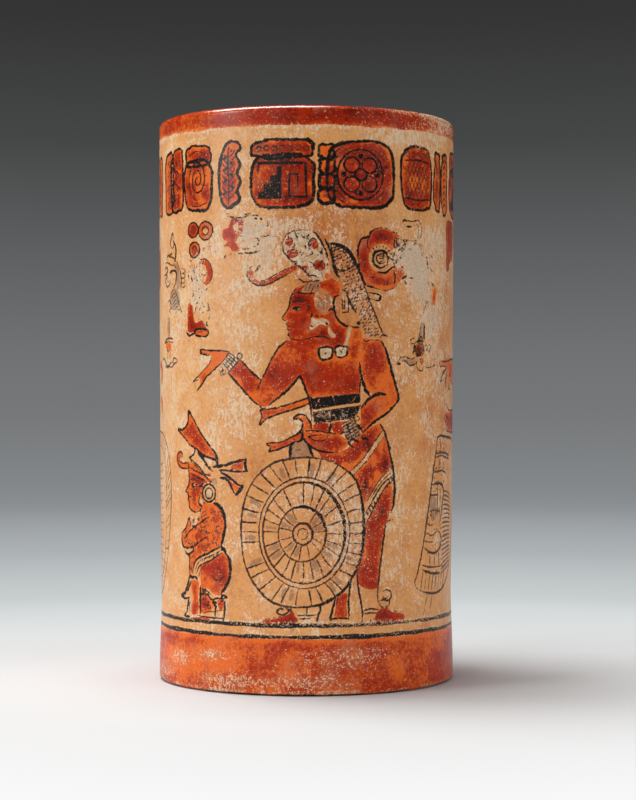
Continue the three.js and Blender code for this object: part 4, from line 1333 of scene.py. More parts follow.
def paint_wear():
    """Old wear: at 1 about a quarter of the paint has gone, at 3 nearly all. Then tints of the red and the
    ground, partly painted shade.
    """
    b = Brush()
    b.draw("""
tint worn: 47,155 7,11 2.8 / 40,162 6,5 2 / -22,170 9,7 2.2 / -14,160 5,6 1.6 / -44,150 6,12 2 / -40,166 6,5
1.6 / -57,135 6,6 0.9 / -20,128 10,8 0.5 / -4,100 7,6 0.6 / -22,152 6,8 1.2 / 56,140 6,12 1.4 / -6,172 9,4
1.2 / -30,98 12,8 0.6 / 60,168 8,8 1.5 / 20,174 12,5 -0.5 / 62,126 14,44 0.6 / -70,120 12,40 0.25 / 46,206
14,4 1.2 / 66,212 16,5 1.6 / 58,215.6 26,1.4 1.6 / -70,208.6 30,1 1.4 / 0,208.4 30,1 0.8 / 36,58 4,14 0.8 /
120,150 16,18 1.5 / 160,120 14,22 1.2 / -20,26.4 50,0.9 0.9 / 40,26.2 40,0.9 1.2 / 20,22 60,0.8 0.7 /
57.6,147.4 2.4,4 -2 / -29,168 3,7 -2.3 / -43,168.4 6,6 -1.2 / -46,138 4,5 -1.2 / -39,155 3,5 -1 / 40,152 3,4
-0.9 / -140,160 18,12 1.8 / -120,60 12,16 1 / 150,50 14,12 1.2 / -30,5 14,3 1.5 / 2,5 16,3 1.2 / -56,12 8,3
1.6 / -36,14 6,2 1.6 / 16,14 20,4 0.9 / -70,5 10,3 1.2 / 64,8 16,8 -0.2 / 110,4 20,3 0.9 / -140,6 24,4 0.9 /
175,212 16,4 1.2""")
    edge_wear = np.exp(-(((ROWS - STANDING_EDGE) / STANDING_EDGE_WEAR) ** 2))[:, None]
    paint["worn"] += edge_wear * (1 + wander(0.6, (3, 7, 16, 33), 21))
    # Painted shade: the red tints at u 80 deepen the red at the front's right edge, by the foot and the rim.
    # The ground tints lay fire clouds, and on the front also painted shade, darker at the centre and right
    # and paler at the left
    b.draw("""
tint: 80,8 14,14 1.1 / 80,208 14,8 0.6;
tint ground_tone: 8,150 26,40 1 / 8,172 20,8 0.8 / -66,140 22,50 -0.6 / -22,50 14,40 0.35 / 64,120 18,70 0.9
/ -16,148 10,16 -0.5 / 40,70 14,40 0.3 / 140,80 30,60 0.6 / -130,110 30,50 0.5 / 180,160 30,30 -0.5""")


def paint_scene():
    """Paints everything, from the back to the front, in one order: each tool draws from the same hand."""
    paint_bands()
    paint_wear()
    paint_blocks()
    front = Brush()
    fan(front)
    standing_figure(front)
    paint_shield()
    small_figure(Brush(line_size=1.3))
    left_pendant(front)
    small_column(front)
    worn_fragment(front)
    scroll_and_smudges(front)
    right_pendant(front)
    bundle(front)
    far_hands(front)
    side_bars(front)
    companion(Brush((118, 0)))
    companion_hands(Brush((-122, 0), flip=True))
    companion(Brush((-122, 0), flip=True))
    small_column(Brush((226, 2)))
    left_pendant(Brush((232, 0)))


paint_scene()


# Meshes. Each strip is its section, turned round the axis by one Geometry Nodes tree.
def feed(tree, node, inputs):
    """Sets or links a node's inputs."""
    for socket, value in inputs.items():
        if isinstance(value, bpy.types.NodeSocket):
            tree.links.new(value, node.inputs[socket])
        else:
            node.inputs[socket].default_value = value


def lay(tree, kind, inputs=(), output=0, **settings):
    """Adds a node with its settings and inputs, and gives back one of its outputs."""
    node = tree.nodes.new(kind)
    for name, value in settings.items():
        setattr(node, name, value)
    feed(tree, node, inputs if isinstance(inputs, dict) else dict(enumerate(inputs)))
    return node.outputs[output] if len(node.outputs) else node


def new_object(name, data):
    made = bpy.data.objects.new(name, data)
    bpy.context.scene.collection.objects.link(made)
    return made


def turning_tree():
    """Turns a closed section once round the vase's axis and adds the unevenness of a handmade wall."""
    tree = bpy.data.node_groups.new("Strip turned round the axis", "GeometryNodeTree")
    sockets = {"Section": "Geometry", "Steps round": "Int", "Path radius": "Float", "Unevenness": "Float",
               "Unevenness spacing": "Float", "Seed": "Float", "Finish": "Material"}
    for name, kind in sockets.items():
        tree.interface.new_socket(name, in_out="INPUT", socket_type="NodeSocket" + kind)
    tree.interface.new_socket("Strip", in_out="OUTPUT", socket_type="NodeSocketGeometry")
    given = tree.nodes.new("NodeGroupInput").outputs

    profile = lay(tree, "GeometryNodeMeshToCurve", {"Mesh": given["Section"]})
    path = lay(tree, "GeometryNodeCurvePrimitiveCircle", {"Resolution": given["Steps round"],
                                                          "Radius": given["Path radius"]})
    path = lay(tree, "GeometryNodeSetCurveNormal", {"Curve": path}, mode="Z_UP")
    turn = lay(tree, "GeometryNodeInputIndex")
    path = lay(tree, "GeometryNodeStoreNamedAttribute", {"Geometry": path, "Name": "turn", "Value": turn},
               data_type="INT", domain="POINT")
    strip = lay(tree, "GeometryNodeCurveToMesh", {"Curve": path, "Profile Curve": profile})

    place = lay(tree, "GeometryNodeInputPosition")
    scale = lay(tree, "ShaderNodeMath", [1.0, given["Unevenness spacing"]], operation="DIVIDE")
    noise = lay(tree, "ShaderNodeTexNoise", {"Vector": place, "W": given["Seed"], "Scale": scale,
                                             "Detail": 1.5}, noise_dimensions="4D")
    amount = lay(tree, "ShaderNodeMath", [noise, 0.5], operation="SUBTRACT")
    amount = lay(tree, "ShaderNodeMath", [amount, given["Unevenness"]], operation="MULTIPLY")
    outward = lay(tree, "ShaderNodeVectorMath", [place, (1, 1, 0)], operation="MULTIPLY")
    outward = lay(tree, "ShaderNodeVectorMath", [outward], operation="NORMALIZE")
    push = lay(tree, "ShaderNodeVectorMath", {0: outward, "Scale": amount}, operation="SCALE")
    strip = lay(tree, "GeometryNodeSetPosition", {"Geometry": strip, "Offset": push})

    strip = lay(tree, "GeometryNodeFlipFaces", {"Mesh": strip})
    strip = lay(tree, "GeometryNodeMergeByDistance", {"Geometry": strip, "Distance": 1e-7})
    strip = lay(tree, "GeometryNodeRealizeInstances", {"Geometry": strip})
    strip = lay(tree, "GeometryNodeSetMaterial", {"Geometry": strip, "Material": given["Finish"]})
    lay(tree, "NodeGroupOutput", {"Strip": strip})
    return tree


TURNING = turning_tree()
UNEVENNESS = 0.5
UNEVENNESS_SPACING = 45
UNEVENNESS_SEED = 3.0
SHARP_ANGLE = 35
FRONT_SHIFT = 3 * COLUMNS // 4
UNWRAP_EDGE = 0.002
UNWRAP_GAP = 0.04


def arc(centre, width, height, start, end, steps=ARC_ROWS):
    angles = np.radians(np.linspace(start, end, steps + 1))
    return [(centre[0] + width * math.cos(a), centre[1] + height * math.sin(a)) for a in angles]


def turned(name, section, finish, columns=COLUMNS):
    """A solid from a closed section, whose rows are radius and height in millimetres."""
    count = len(section)
    mesh = bpy.data.meshes.new(name + "_section")
    points = [((r - WAIST_RADIUS) * MM, -z * MM, 0) for r, z in section]
    mesh.from_pydata(points, [(i, (i + 1) % count) for i in range(count)], [])
    step = mesh.attributes.new("step", "INT", "POINT")
    step.data.foreach_set("value", np.arange(count, dtype=np.int32))
    maker = new_object(name + "_section", mesh)
    modifier = maker.modifiers.new("Turned", "NODES")
    modifier.node_group = TURNING
    values = {"Steps round": columns, "Path radius": WAIST_RADIUS * MM, "Unevenness": UNEVENNESS * MM,
              "Unevenness spacing": UNEVENNESS_SPACING * MM, "Seed": UNEVENNESS_SEED, "Finish": finish}
    for item in TURNING.interface.items_tree:
        if item.name in values:
            modifier[item.identifier] = values[item.name]
    maker.update_tag()
    graph = bpy.context.evaluated_depsgraph_get()
    solid = bpy.data.meshes.new_from_object(maker.evaluated_get(graph))
    maker.modifiers.remove(modifier)
    bpy.data.objects.remove(maker)
    solid.name = name
    piece = new_object(name, solid)
    solid.polygons.foreach_set("use_smooth", np.ones(len(solid.polygons), bool))
    solid.set_sharp_from_angle(angle=math.radians(SHARP_ANGLE))
    return piece


def whole_numbers(items, name):
    """One whole number of each item, as an array."""
    values = np.empty(len(items), np.int32)
    items.foreach_get(name, values)
    return values


def unwrap(piece, section, bands, columns=COLUMNS):
    """Lays the faces in bands across the baked picture. A band is first step, last step, pieces, height."""
    mesh = piece.data
    corners = whole_numbers(mesh.loops, "vertex_index")
    starts = whole_numbers(mesh.polygons, "loop_start")
    totals = whole_numbers(mesh.polygons, "loop_total")
    face = np.repeat(np.arange(len(totals)), totals)

    def carried_on(name, around):
        """Each corner's number, carried on past the seam, and the lowest number of its face."""
        n = whole_numbers(mesh.attributes[name].data, "value")[corners].astype(float)
        split = np.maximum.reduceat(n, starts) - np.minimum.reduceat(n, starts) > around / 2
        n = np.where(split[face] & (n < around / 2), n + around, n)
        return n, np.minimum.reduceat(n, starts)[face]

    turn, first_turn = carried_on("turn", columns)
    step, first_step = carried_on("step", len(section))
    uv = np.zeros((len(corners), 2))
    floor = 0.0
    for low, high, parts, share in bands:
        mine = (first_step >= low) & (first_step < high)
        part = np.floor(first_turn / (columns / parts))
        across = (turn - part * columns / parts) / (columns / parts)
        up = (step - low) / (high - low)
        uv[mine, 0] = (UNWRAP_EDGE + (1 - 2 * UNWRAP_EDGE) * across)[mine]
        uv[mine, 1] = (floor + share / parts * (part + UNWRAP_GAP + (1 - 2 * UNWRAP_GAP) * up))[mine]
        floor += share
    layer = mesh.uv_layers.new(name="OFBake")
    layer.data.foreach_set("uv", np.clip(uv, 0, 1).astype(np.float32).ravel())


def colour_rows(piece, painted, inside):
    """Gives every vertex its painted distances: painted holds each section step's height on the canvas."""
    mesh = piece.data
    turn, step = [whole_numbers(mesh.attributes[name].data, "value") for name in ("turn", "step")]
    column = (turn + FRONT_SHIFT) % COLUMNS
    rows = np.clip(np.searchsorted(ROWS, np.array(painted) - 1e-3)[step], 0, len(ROWS) - 1)
    shares = {name: values[rows, column] for name, values in paint.items()}
    shares["inside"] = np.array(inside)[step]
    for name, values in shares.items():
        layer = mesh.attributes.new(name, "FLOAT", "POINT")
        layer.data.foreach_set("value", values.astype(np.float32))


def inside_face(top, bottom, rows=INSIDE_ROWS):
    """The inner face of a strip, going down, with the hollow that the potter's fingers left."""
    z = np.linspace(top, bottom, rows + 1)
    across = np.linspace(0, 1, rows + 1)
    return [(inner_radius(h) + FINGER_HOLLOW * 4 * a * (1 - a), h) for h, a in zip(z, across)]


# Materials. A grain or a fleck is a pattern worked out at each point, and no picture is read
def linear(value):
    """An sRGB hex colour as linear light."""
    parts = [int(value[i:i + 2], 16) / 255 for i in (1, 3, 5)]
    return [c / 12.92 if c <= 0.04045 else ((c + 0.055) / 1.055) ** 2.4 for c in parts] + [1.0]


def new_finish(name):
    material = bpy.data.materials.new(name)
    material.use_nodes = True
    tree = material.node_tree
    place = lay(tree, "ShaderNodeTexCoord", output="Object")
    return material, tree, tree.nodes["Principled BSDF"], place


def grain(tree, place, across, detail=3.0, stretch=(1, 1, 1), shift=0.0):
    """A cloudy pattern of blotches about so many millimetres across, drawn out by stretch along each axis."""
    scale = tuple(1 / s for s in stretch)
    place = lay(tree, "ShaderNodeMapping", {"Vector": place, "Location": (shift,) * 3, "Scale": scale})
    return lay(tree, "ShaderNodeTexNoise", {"Vector": place, "Scale": 0.6 / (across * MM), "Detail": detail,
                                            "Roughness": 0.55})


def coat(tree, under, over, pattern, low=0.0, high=1.0, cover=1.0):
    """Lays one colour over another where a pattern goes from low to high."""
    under, over = [linear(colour) if isinstance(colour, str) else colour for colour in (under, over)]
    share = lay(tree, "ShaderNodeMapRange", [pattern, low, high, 0.0, cover],
                interpolation_type="SMOOTHSTEP")
    return lay(tree, "ShaderNodeMix", {0: share, 6: under, 7: over}, output=2, data_type="RGBA")


def pile(tree, start, *patterns):
    """Adds patterns to a start, each times its share."""
    for pattern, share in patterns:
        start = lay(tree, "ShaderNodeMath", [pattern, share, start], operation="MULTIPLY_ADD")
    return start


def curls(tree, place, across, shift=0.0):
    """Short thin worm-like marks, about so many millimetres long, as a scuffed surface shows."""
    waves = grain(tree, place, across, 2, shift=shift)
    off = lay(tree, "ShaderNodeMath", [waves, 0.5], operation="SUBTRACT")
    off = lay(tree, "ShaderNodeMath", [off], operation="ABSOLUTE")
    return lay(tree, "ShaderNodeMapRange", [off, 0.1, 0.03, 0.0, 1.0], interpolation_type="SMOOTHSTEP")


def bare_clay(tree, place):
    """Wiped, unslipped earthenware: buff brown, with darker fire clouds, fine grit and wiping streaks."""
    streaks = grain(tree, place, 0.8, stretch=(6, 6, 1), shift=0.1)
    grit = grain(tree, place, 0.5, 2)
    colour = coat(tree, "#a97a4e", "#bf9466", grain(tree, place, 14), 0.4, 0.65)
    colour = coat(tree, colour, "#775337", grain(tree, place, 32, shift=0.3), 0.52, 0.7, 0.55)
    colour = coat(tree, colour, "#8a6340", streaks, 0.5, 0.7, 0.4)
    colour = coat(tree, colour, "#dcc39c", grit, 0.6, 0.68, 0.5)
    return colour, pile(tree, streaks, (grit, 0.4))


def slip_ground(tree, place, fine, flecks, painted):
    """The ground under the painting: orange-tan slip, mottled in the fire and by the burnishing pebble. On
    the front its tone also holds painted shade, darker at the centre and right and paler at the left. Pale
    fibres and flecks show where its surface has gone, and wear turns whole patches grey-cream."""
    broad, middling = grain(tree, place, 26), grain(tree, place, 5, 4, shift=0.05)
    # The ground tone holds fire clouds and, on the front, painted shade
    depth = pile(tree, painted["ground_tone"], (broad, 1.6), (middling, 2.2), (flecks, 1.6))
    colour = coat(tree, "#f8d2a6", "#eca565", depth, 1.6, 2.8)
    colour = coat(tree, colour, "#ca733a", depth, 2.7, 4.1)
    streaks = grain(tree, place, 1.1, 3, stretch=(1, 1, 9), shift=0.44)
    colour = coat(tree, colour, "#f0a64a", streaks, 0.5, 0.68, 0.4)

    # Specks of pinker and yellower clay, under a millimetre across
    specks = grain(tree, place, 0.7, 3, shift=0.31)
    colour = coat(tree, colour, "#e6b068", specks, 0.5, 0.66, 0.4)
    colour = coat(tree, colour, "#c98f6c", specks, 0.47, 0.34, 0.5)

    # Pale scuffs lie in loose clusters, and a few fibres lean upright, as the pebble went
    fibres = grain(tree, place, 0.5, 2.5, stretch=(1, 1, 3), shift=0.23)
    crowd = pile(tree, flecks, (grain(tree, place, 6, 4, shift=0.52), 1.3), (painted["worn"], 0.3))
    crowd = lay(tree, "ShaderNodeMapRange", [crowd, 1.05, 1.4, 0.0, 1.0])
    scuffs = lay(tree, "ShaderNodeMath", [curls(tree, place, 1.3, 0.61), crowd], operation="MULTIPLY")
    broken = lay(tree, "ShaderNodeMapRange", [fine, 0.44, 0.58, 0.0, 1.0])
    scuffs = lay(tree, "ShaderNodeMath", [scuffs, broken], operation="MULTIPLY")
    colour = coat(tree, colour, "#a56a3a", fibres, 0.4, 0.28, 0.25)
    colour = coat(tree, colour, "#f4dcbc", scuffs, 0.0, 0.8, 0.7)
    colour = coat(tree, colour, "#f0dabc", pile(tree, fibres, (crowd, 0.3)), 0.73, 0.85, 0.6)

    rubbed = pile(tree, flecks, (painted["worn"], 0.2), (fine, 0.4))
    rubbed = lay(tree, "ShaderNodeMapRange", [rubbed, 0.9, 1.18, 0.0, 0.9],
                 interpolation_type="SMOOTHSTEP")
    bare = coat(tree, "#d3b497", "#e4ccb0", fine, 0.4, 0.62)
    colour = lay(tree, "ShaderNodeMix", {0: rubbed, 6: colour, 7: bare}, output=2, data_type="RGBA")
    return colour, rubbed, fibres


def red_paint(tree, place, fine, flecks, reach, painted):
    """Iron-red slip, brushed on thin: orange where thin and near its edge, deep red where it pooled, and
    deeper at the front's right edge as painted shade.
    """
    pools = grain(tree, place, 7, 5, shift=0.4)
    # The red tone also holds painted shade at the front's right edge
    depth = pile(tree, painted["red_tone"], (pools, 3.5), (flecks, 2.4), (fine, 1.6))
    thin_edge = lay(tree, "ShaderNodeMapRange", [reach, -2.6, -0.2, 0.0, -0.75],
                    interpolation_type="SMOOTHSTEP")
    depth = lay(tree, "ShaderNodeMath", [depth, thin_edge], operation="ADD")
    colour = coat(tree, "#ef6d20", "#b42905", depth, 2.65, 3.85)
    colour = coat(tree, colour, "#651108", depth, 3.85, 5.2)

    # A pale haze where the burnished surface has been rubbed dull
    haze = pile(tree, grain(tree, place, 6, 5, shift=0.83), (painted["worn"], 0.16))
    return coat(tree, colour, "#d07c58", haze, 0.53, 0.8, 0.55)


def painted_slip():
    """Burnished earthenware slip, painted before firing: orange-tan ground, iron reds, black outlines, and
    the small losses of old wear, with painted shade in the ground and red tones on the front and a painted
    contact shadow line along the foot. Satin, with soft reflections of the lamps."""
    material, tree, shader, place = new_finish("Burnished painted slip")
    painted = {name: lay(tree, "ShaderNodeAttribute", output="Fac", attribute_name=name)
               for name in (*EDGES, *TONES, "inside")}
    worn = painted["worn"]
    fine = grain(tree, place, 0.35, 3, shift=0.17)
    flecks = grain(tree, place, 0.8, 4, shift=0.11)
    colour, rubbed, fibres = slip_ground(tree, place, fine, flecks, painted)

    # The brush's edge wanders by a fraction of a millimetre, and thins out
    edge = pile(tree, -0.6, (flecks, 0.8), (fine, 0.5))
    soft = {"wash": 0.35, "pale": 0.15, "red": 0.14, "ink": 0.13}
    reach, drawn = {}, {}
    for name, blur in soft.items():
        reach[name] = pile(tree, painted[name], (edge, 0.6 if name == "ink" else 1.0))
        drawn[name] = lay(tree, "ShaderNodeMapRange", [reach[name], blur, -blur, 0.0, 1.0],
                          interpolation_type="SMOOTHSTEP")

    # Paint is lost in small flecks and curls, more of them where the wall is worn
    lost = pile(tree, flecks, (worn, 0.09), (fine, 0.3))
    lost = lay(tree, "ShaderNodeMapRange", [lost, 0.85, 0.91, 0.0, 0.85], interpolation_type="SMOOTHSTEP")
    nicks = lay(tree, "ShaderNodeMapRange", [pile(tree, fine, (worn, 0.14)), 0.56, 0.7, 0.0, 0.85])
    nicks = lay(tree, "ShaderNodeMath", [nicks, curls(tree, place, 1.4, 0.71)], operation="MULTIPLY")
    lost = lay(tree, "ShaderNodeMath", [lost, nicks], operation="MAXIMUM")
    kept = lay(tree, "ShaderNodeMath", [1.0, lost], operation="SUBTRACT")

    cream = coat(tree, "#cbab84", "#e8d4b6", flecks, 0.4, 0.6)
    red = red_paint(tree, place, fine, flecks, reach["red"], painted)
    for name, over, most in (("wash", "#6e5650", 0.5), ("pale", cream, 0.72), ("red", red, 1.0)):
        cover = lay(tree, "ShaderNodeMath", [drawn[name], kept], operation="MULTIPLY")
        colour = coat(tree, colour, over, cover, cover=most)

    # Ink is black where it is thick, and brown where it is thin, at its edges or diluted
    # The ink layer also carries the painted contact shadow along the foot's bottom edge
    thin = pile(tree, painted["ink_tone"], (reach["ink"], 2.2), (flecks, 1.6))
    ink = coat(tree, "#171213", "#64402f", thin, 0.2, 1.5)
    kept = pile(tree, 1.0, (lost, -0.7))
    cover = lay(tree, "ShaderNodeMath", [drawn["ink"], kept], operation="MULTIPLY")
    colour = coat(tree, colour, ink, cover)

    clay, clay_height = bare_clay(tree, place)
    inside = pile(tree, painted["inside"], (edge, 0.4))
    inside = lay(tree, "ShaderNodeMapRange", [inside, 0.44, 0.56, 0.0, 1.0], interpolation_type="SMOOTHSTEP")
    colour = lay(tree, "ShaderNodeMix", {0: inside, 6: colour, 7: clay}, output=2, data_type="RGBA")

    rough = pile(tree, 0.2, (flecks, 0.24), (rubbed, 0.25), (inside, 0.35))
    height = lay(tree, "ShaderNodeSeparateXYZ", [place], output="Z")
    polish = lay(tree, "ShaderNodeMapRange", [height, (HEIGHT - 3) * MM, (HEIGHT - 1.5) * MM, 0.0, -0.2])
    rough = lay(tree, "ShaderNodeMath", [rough, polish], operation="ADD")
    gloss = lay(tree, "ShaderNodeMapRange", [height, (HEIGHT - 2.4) * MM, (HEIGHT - 1.2) * MM, 0.22, 0.9])
    height = pile(tree, fibres, (grain(tree, place, 9, 2), 2.2), (fine, 0.3), (lost, -0.35))
    clay_height = lay(tree, "ShaderNodeMath", [clay_height, inside], operation="MULTIPLY")
    height = lay(tree, "ShaderNodeMath", [clay_height, height], operation="ADD")
    bump = lay(tree, "ShaderNodeBump", {"Strength": 0.4, "Distance": 0.16 * MM, "Height": height})
    feed(tree, shader, {"Base Color": colour, "Roughness": rough, "IOR": 1.5, "Specular IOR Level": gloss,
                        "Normal": bump})
    return material


def wiped_clay():
    """Unslipped earthenware wiped smooth with a wet hand, matt and gritty, for the floor and its coil."""
    material, tree, shader, place = new_finish("Wiped bare earthenware")
    colour, height = bare_clay(tree, place)
    bump = lay(tree, "ShaderNodeBump", {"Strength": 0.5, "Distance": 0.2 * MM, "Height": height})
    feed(tree, shader, {"Base Color": colour, "Roughness": 0.78, "Normal": bump})
    return material


PAINTED = painted_slip()
CLAY = wiped_clay()


# Pieces
def keep(piece, node):
    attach(piece, "root")
    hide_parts(node)


def painted_piece(node, section, painted, inside, bands):
    """A strip with the painting. Painted and inside hold the height on the canvas and the share of bare
    clay of each step of its section."""
    piece = turned(node, section, PAINTED)
    colour_rows(piece, painted, inside)
    unwrap(piece, section, bands)
    keep(piece, node)


def wall_strip(node, bottom, top):
    outside = spaced(bottom, top, ROW_SPACING)
    section = [(outer_radius(z), z) for z in outside] + inside_face(top - SCARF_DROP, bottom - SCARF_DROP)
    rows, count = len(outside), len(section)
    bands = [(0, rows - 1, 4, 0.86), (rows - 1, rows, 1, 0.02), (rows, count - 1, 1, 0.1),
             (count - 1, count, 1, 0.02)]
    painted = list(outside) + [ROWS[-1]] * (count - rows)
    inside = [0.0] * rows + [1.0] * (count - rows)
    painted_piece(node, section, painted, inside, bands)


def foot_strip():
    edge = outer_radius(FOOT_EDGE_RADIUS) - FOOT_EDGE_RADIUS
    corner = arc((edge, FOOT_EDGE_RADIUS), FOOT_EDGE_RADIUS, FOOT_EDGE_RADIUS, -90, 0)
    flare = [z for z in ROWS if FOOT_EDGE_RADIUS + 0.1 < z <= FOOT_TOP + 1e-3]
    outside = corner + [(outer_radius(z), z) for z in flare]
    inner = [(inner_radius(z), z) for z in (FOOT_TOP - SCARF_DROP, FOOT_INNER_STEP, FLOOR_THICKNESS, 0)]
    rows, count = len(outside), len(outside) + len(inner)
    bands = [(0, rows - 1, 4, 0.84), (rows - 1, rows, 1, 0.02), (rows, count - 1, 1, 0.06),
             (count - 1, count, 1, 0.08)]
    painted = [z for r, z in outside] + [ROWS[-1]] * len(inner)
    inside = [0.9] + [0.0] * (rows - 1) + [1.0] * len(inner)
    painted_piece("foot_strip", outside + inner, painted, inside, bands)


def rim_coil():
    outer, inner = HEIGHT - LIP_OUTER_ROUND, HEIGHT - LIP_INNER_ROUND
    crest = (inner_radius(HEIGHT) + outer_radius(HEIGHT)) / 2
    face = [(outer_radius(z), z) for z in spaced(RIM_BOTTOM, outer, ROW_SPACING)]
    over = arc((crest, outer), outer_radius(outer) - crest, LIP_OUTER_ROUND, 0, 90)[1:]
    into = arc((crest, inner), crest - inner_radius(inner), LIP_INNER_ROUND, 90, 180)[1:]
    down = [(inner_radius(z), z) for z in spaced(inner, RIM_BOTTOM - SCARF_DROP, LIP_ROW_SPACING)][1:]
    section = face + over + into + down
    travel = np.concatenate([[0], np.cumsum(np.hypot(*np.diff(np.array(section), axis=0).T))])
    painted = RIM_BOTTOM + travel
    inside = smoothstep(painted, HEIGHT + INSIDE_RED - 1.5, HEIGHT + INSIDE_RED - 0.5)
    rows, count = len(face) + len(over), len(section)
    bands = [(0, rows - 1, 4, 0.6), (rows - 1, count - 1, 2, 0.38), (count - 1, count, 1, 0.02)]
    painted_piece("rim_coil", section, painted, inside, bands)


def floor_disc():
    """The floor. A pin hole at its centre keeps every face there wider than nothing."""
    rim, top = [inner_radius(z) - FLOOR_CLEARANCE for z in (0, FLOOR_THICKNESS)]
    under = [(r, FLOOR_HOLLOW * (1 - (r / rim) ** 2)) for r in np.linspace(PIN_HOLE, rim, FLOOR_RINGS)]
    over = [(r, FLOOR_THICKNESS) for r in np.linspace(top, PIN_HOLE, FLOOR_RINGS)]
    piece = turned("floor_disc", under + over, CLAY, PLAIN_COLUMNS)
    edge, end = FLOOR_RINGS - 1, 2 * FLOOR_RINGS
    bands = [(0, edge, 1, 0.45), (edge, edge + 1, 1, 0.05), (edge + 1, end - 1, 1, 0.45),
             (end - 1, end, 1, 0.05)]
    unwrap(piece, under + over, bands, PLAIN_COLUMNS)
    keep(piece, "floor_disc")


def corner_coil():
    top = FLOOR_THICKNESS + CORNER_COIL_LEG
    sweep = CORNER_COIL_LEG - CORNER_COIL_TIP
    centre = (inner_radius(top) - CORNER_COIL_TIP - sweep, top)
    section = [(centre[0], FLOOR_THICKNESS), (inner_radius(FLOOR_THICKNESS), FLOOR_THICKNESS),
               (inner_radius(top), top)] + arc(centre, sweep, sweep, 0, -90, 12)[:-1]
    piece = turned("corner_coil", section, CLAY, PLAIN_COLUMNS)
    unwrap(piece, section, [(0, 2, 1, 0.2), (2, len(section), 1, 0.8)], PLAIN_COLUMNS)
    keep(piece, "corner_coil")


edges = strip_edges()
for node, bottom, top in zip(WALL_STRIPS, edges[:-1], edges[1:]):
    wall_strip(node, bottom, top)
foot_strip()
rim_coil()
floor_disc()
corner_coil()


# Studio: pale paper that curves up into a backdrop all round, its grey a painted light falloff, soft lamps
# and the camera
def backdrop_paper():
    """White paper round the vase. Farther off it falls to grey: a painted light falloff, seen as written as a
    glow, in reflections too.
    """
    material, tree, shader, place = new_finish("Studio paper")
    flat = lay(tree, "ShaderNodeVectorMath", [place, (1, 1, 0)], operation="MULTIPLY")
    away = lay(tree, "ShaderNodeVectorMath", [flat], operation="LENGTH", output="Value")
    height = lay(tree, "ShaderNodeSeparateXYZ", [place], output="Z")
    out = lay(tree, "ShaderNodeVectorMath", [flat, BACKDROP_MIDDLE], operation="DISTANCE", output="Value")
    span = lay(tree, "ShaderNodeMapRange", [pile(tree, out, (height, 2.2)), 0.0, BACKDROP_SPAN, 0.0, 1.0])
    painted_falloff = tree.nodes.new("ShaderNodeValToRGB")
    feed(tree, painted_falloff, {"Fac": span})
    ramp = painted_falloff.color_ramp.elements
    for at, shade in BACKDROP_PAINTED_FALLOFF:
        stop = ramp.new(at / BACKDROP_SPAN)
        stop.color = linear(shade)
    ramp.remove(ramp[0])
    ramp.remove(ramp[len(ramp) - 1])
    glow = lay(tree, "ShaderNodeEmission", {"Color": painted_falloff.outputs[0]})
    rays = [lay(tree, "ShaderNodeLightPath", output=name) for name in ("Is Camera Ray", "Is Glossy Ray")]
    seen = lay(tree, "ShaderNodeMath", rays, operation="MAXIMUM")
    far = lay(tree, "ShaderNodeMapRange", [away, 0.09, 0.3, 0.0, 1.0], interpolation_type="SMOOTHSTEP")
    share = lay(tree, "ShaderNodeMath", [far, seen], operation="MULTIPLY")
    lit = lay(tree, "ShaderNodeVectorMath", {0: painted_falloff.outputs[0], "Scale": PAPER_LIT}, operation="SCALE")
    feed(tree, shader, {"Base Color": lit, "Roughness": 0.9, "Specular IOR Level": 0.1})
    shown = lay(tree, "ShaderNodeMixShader", [share, shader.outputs[0], glow])
    feed(tree, tree.nodes["Material Output"], {"Surface": shown})
    return material


# The paper's colours are painted light: a white pool centred on BACKDROP_MIDDLE falls off to dark grey with
# distance and height, as a glow beyond the lamp-lit floor by the vase
PAPER_LIT = 0.72
BACKDROP_SPAN = 4.0
BACKDROP_MIDDLE = (0, -0.16, 0)
BACKDROP_PAINTED_FALLOFF = ((0.2, "#fafafa"), (0.33, "#e9ebeb"), (0.49, "#c9cecf"), (0.82, "#adb2b4"),
                   (1.13, "#9ea2a5"), (1.56, "#85888a"), (1.9, "#76787a"), (2.15, "#707173"),
                   (2.5, "#5e5f60"), (2.84, "#464747"), (3.19, "#353535"), (3.55, "#2d2d2d"),
                   (3.9, "#282828"))


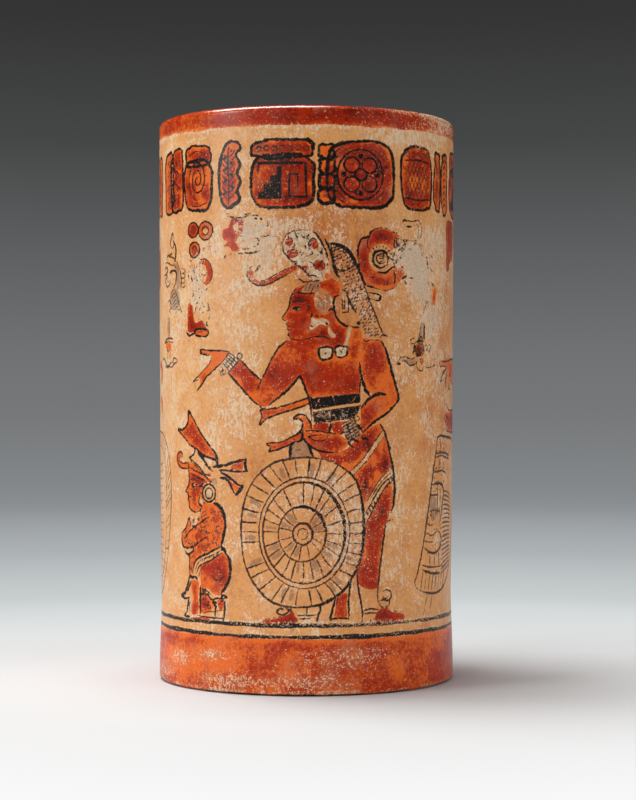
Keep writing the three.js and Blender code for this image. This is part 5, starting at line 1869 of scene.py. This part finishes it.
def paper_sweep():
    """A round floor that curves up into a wall, so that every side has the same backdrop."""
    reach, bend, top, sides = 1.75, 0.5, 1.6, 72
    angles = np.linspace(0, math.pi / 2, 13)
    line = [(r, 0.0) for r in (0.15, 0.5, 0.9)]
    line += [(reach - bend + bend * math.sin(a), bend - bend * math.cos(a)) for a in angles] + [(reach, top)]
    points, faces = [(0, 0, 0)], []
    for r, z in line:
        for k in range(sides):
            angle = 2 * math.pi * k / sides
            points.append((r * math.cos(angle), r * math.sin(angle), z))
    for k in range(sides):
        after = (k + 1) % sides
        faces.append((0, 1 + k, 1 + after))
        for n in range(len(line) - 1):
            inner, outer = 1 + n * sides, 1 + (n + 1) * sides
            faces.append((inner + k, outer + k, outer + after, inner + after))
    mesh = bpy.data.meshes.new("paper_sweep")
    mesh.from_pydata(points, [], faces)
    mesh.polygons.foreach_set("use_smooth", np.ones(len(faces), bool))
    mesh.materials.append(backdrop_paper())
    paper = new_object("paper_sweep", mesh)


def lamp(name, place, look_at, width, height, power, mirrored=True):
    light = bpy.data.lights.new(name, "AREA")
    light.shape = "RECTANGLE"
    light.size, light.size_y = width, height
    light.energy = power
    lamp_object = new_object(name, light)
    lamp_object.location = place
    lamp_object.visible_camera = False
    lamp_object.visible_glossy = mirrored
    direction = Vector(look_at) - Vector(place)
    lamp_object.rotation_euler = direction.to_track_quat("-Z", "Y").to_euler()


CAMERA_PLACE = (0.00455, -0.799, 0.1082)
CAMERA_LENS = 91.6
WHITE = (1, 1, 1, 1)
AIR_LIGHT = 0.06


def camera():
    lens = bpy.data.cameras.new("camera")
    lens.lens = CAMERA_LENS
    lens.sensor_width = 36
    eye = new_object("camera", lens)
    eye.location = CAMERA_PLACE
    eye.rotation_euler = (math.radians(90), 0, 0)
    bpy.context.scene.camera = eye


def studio():
    middle = (0, 0, 0.11)
    paper_sweep()
    lamp("key_softbox", (-1.25, -0.65, 0.55), middle, 0.5, 1.0, 10.0)
    lamp("veil_strip", (-0.5, -1.15, 0.25), middle, 0.12, 1.0, 1.3)
    lamp("fill_panel", (1.3, -0.75, 0.4), middle, 1.2, 1.1, 10.8, mirrored=False)
    lamp("overhead", (-0.25, 0.1, 1.1), middle, 0.45, 0.8, 14)
    world = bpy.data.worlds.new("studio_air")
    world.use_nodes = True
    air = world.node_tree.nodes["Background"].inputs
    air["Color"].default_value = WHITE
    air["Strength"].default_value = AIR_LIGHT
    bpy.context.scene.world = world
    bpy.context.scene.view_settings.view_transform = "Standard"


studio()
camera()
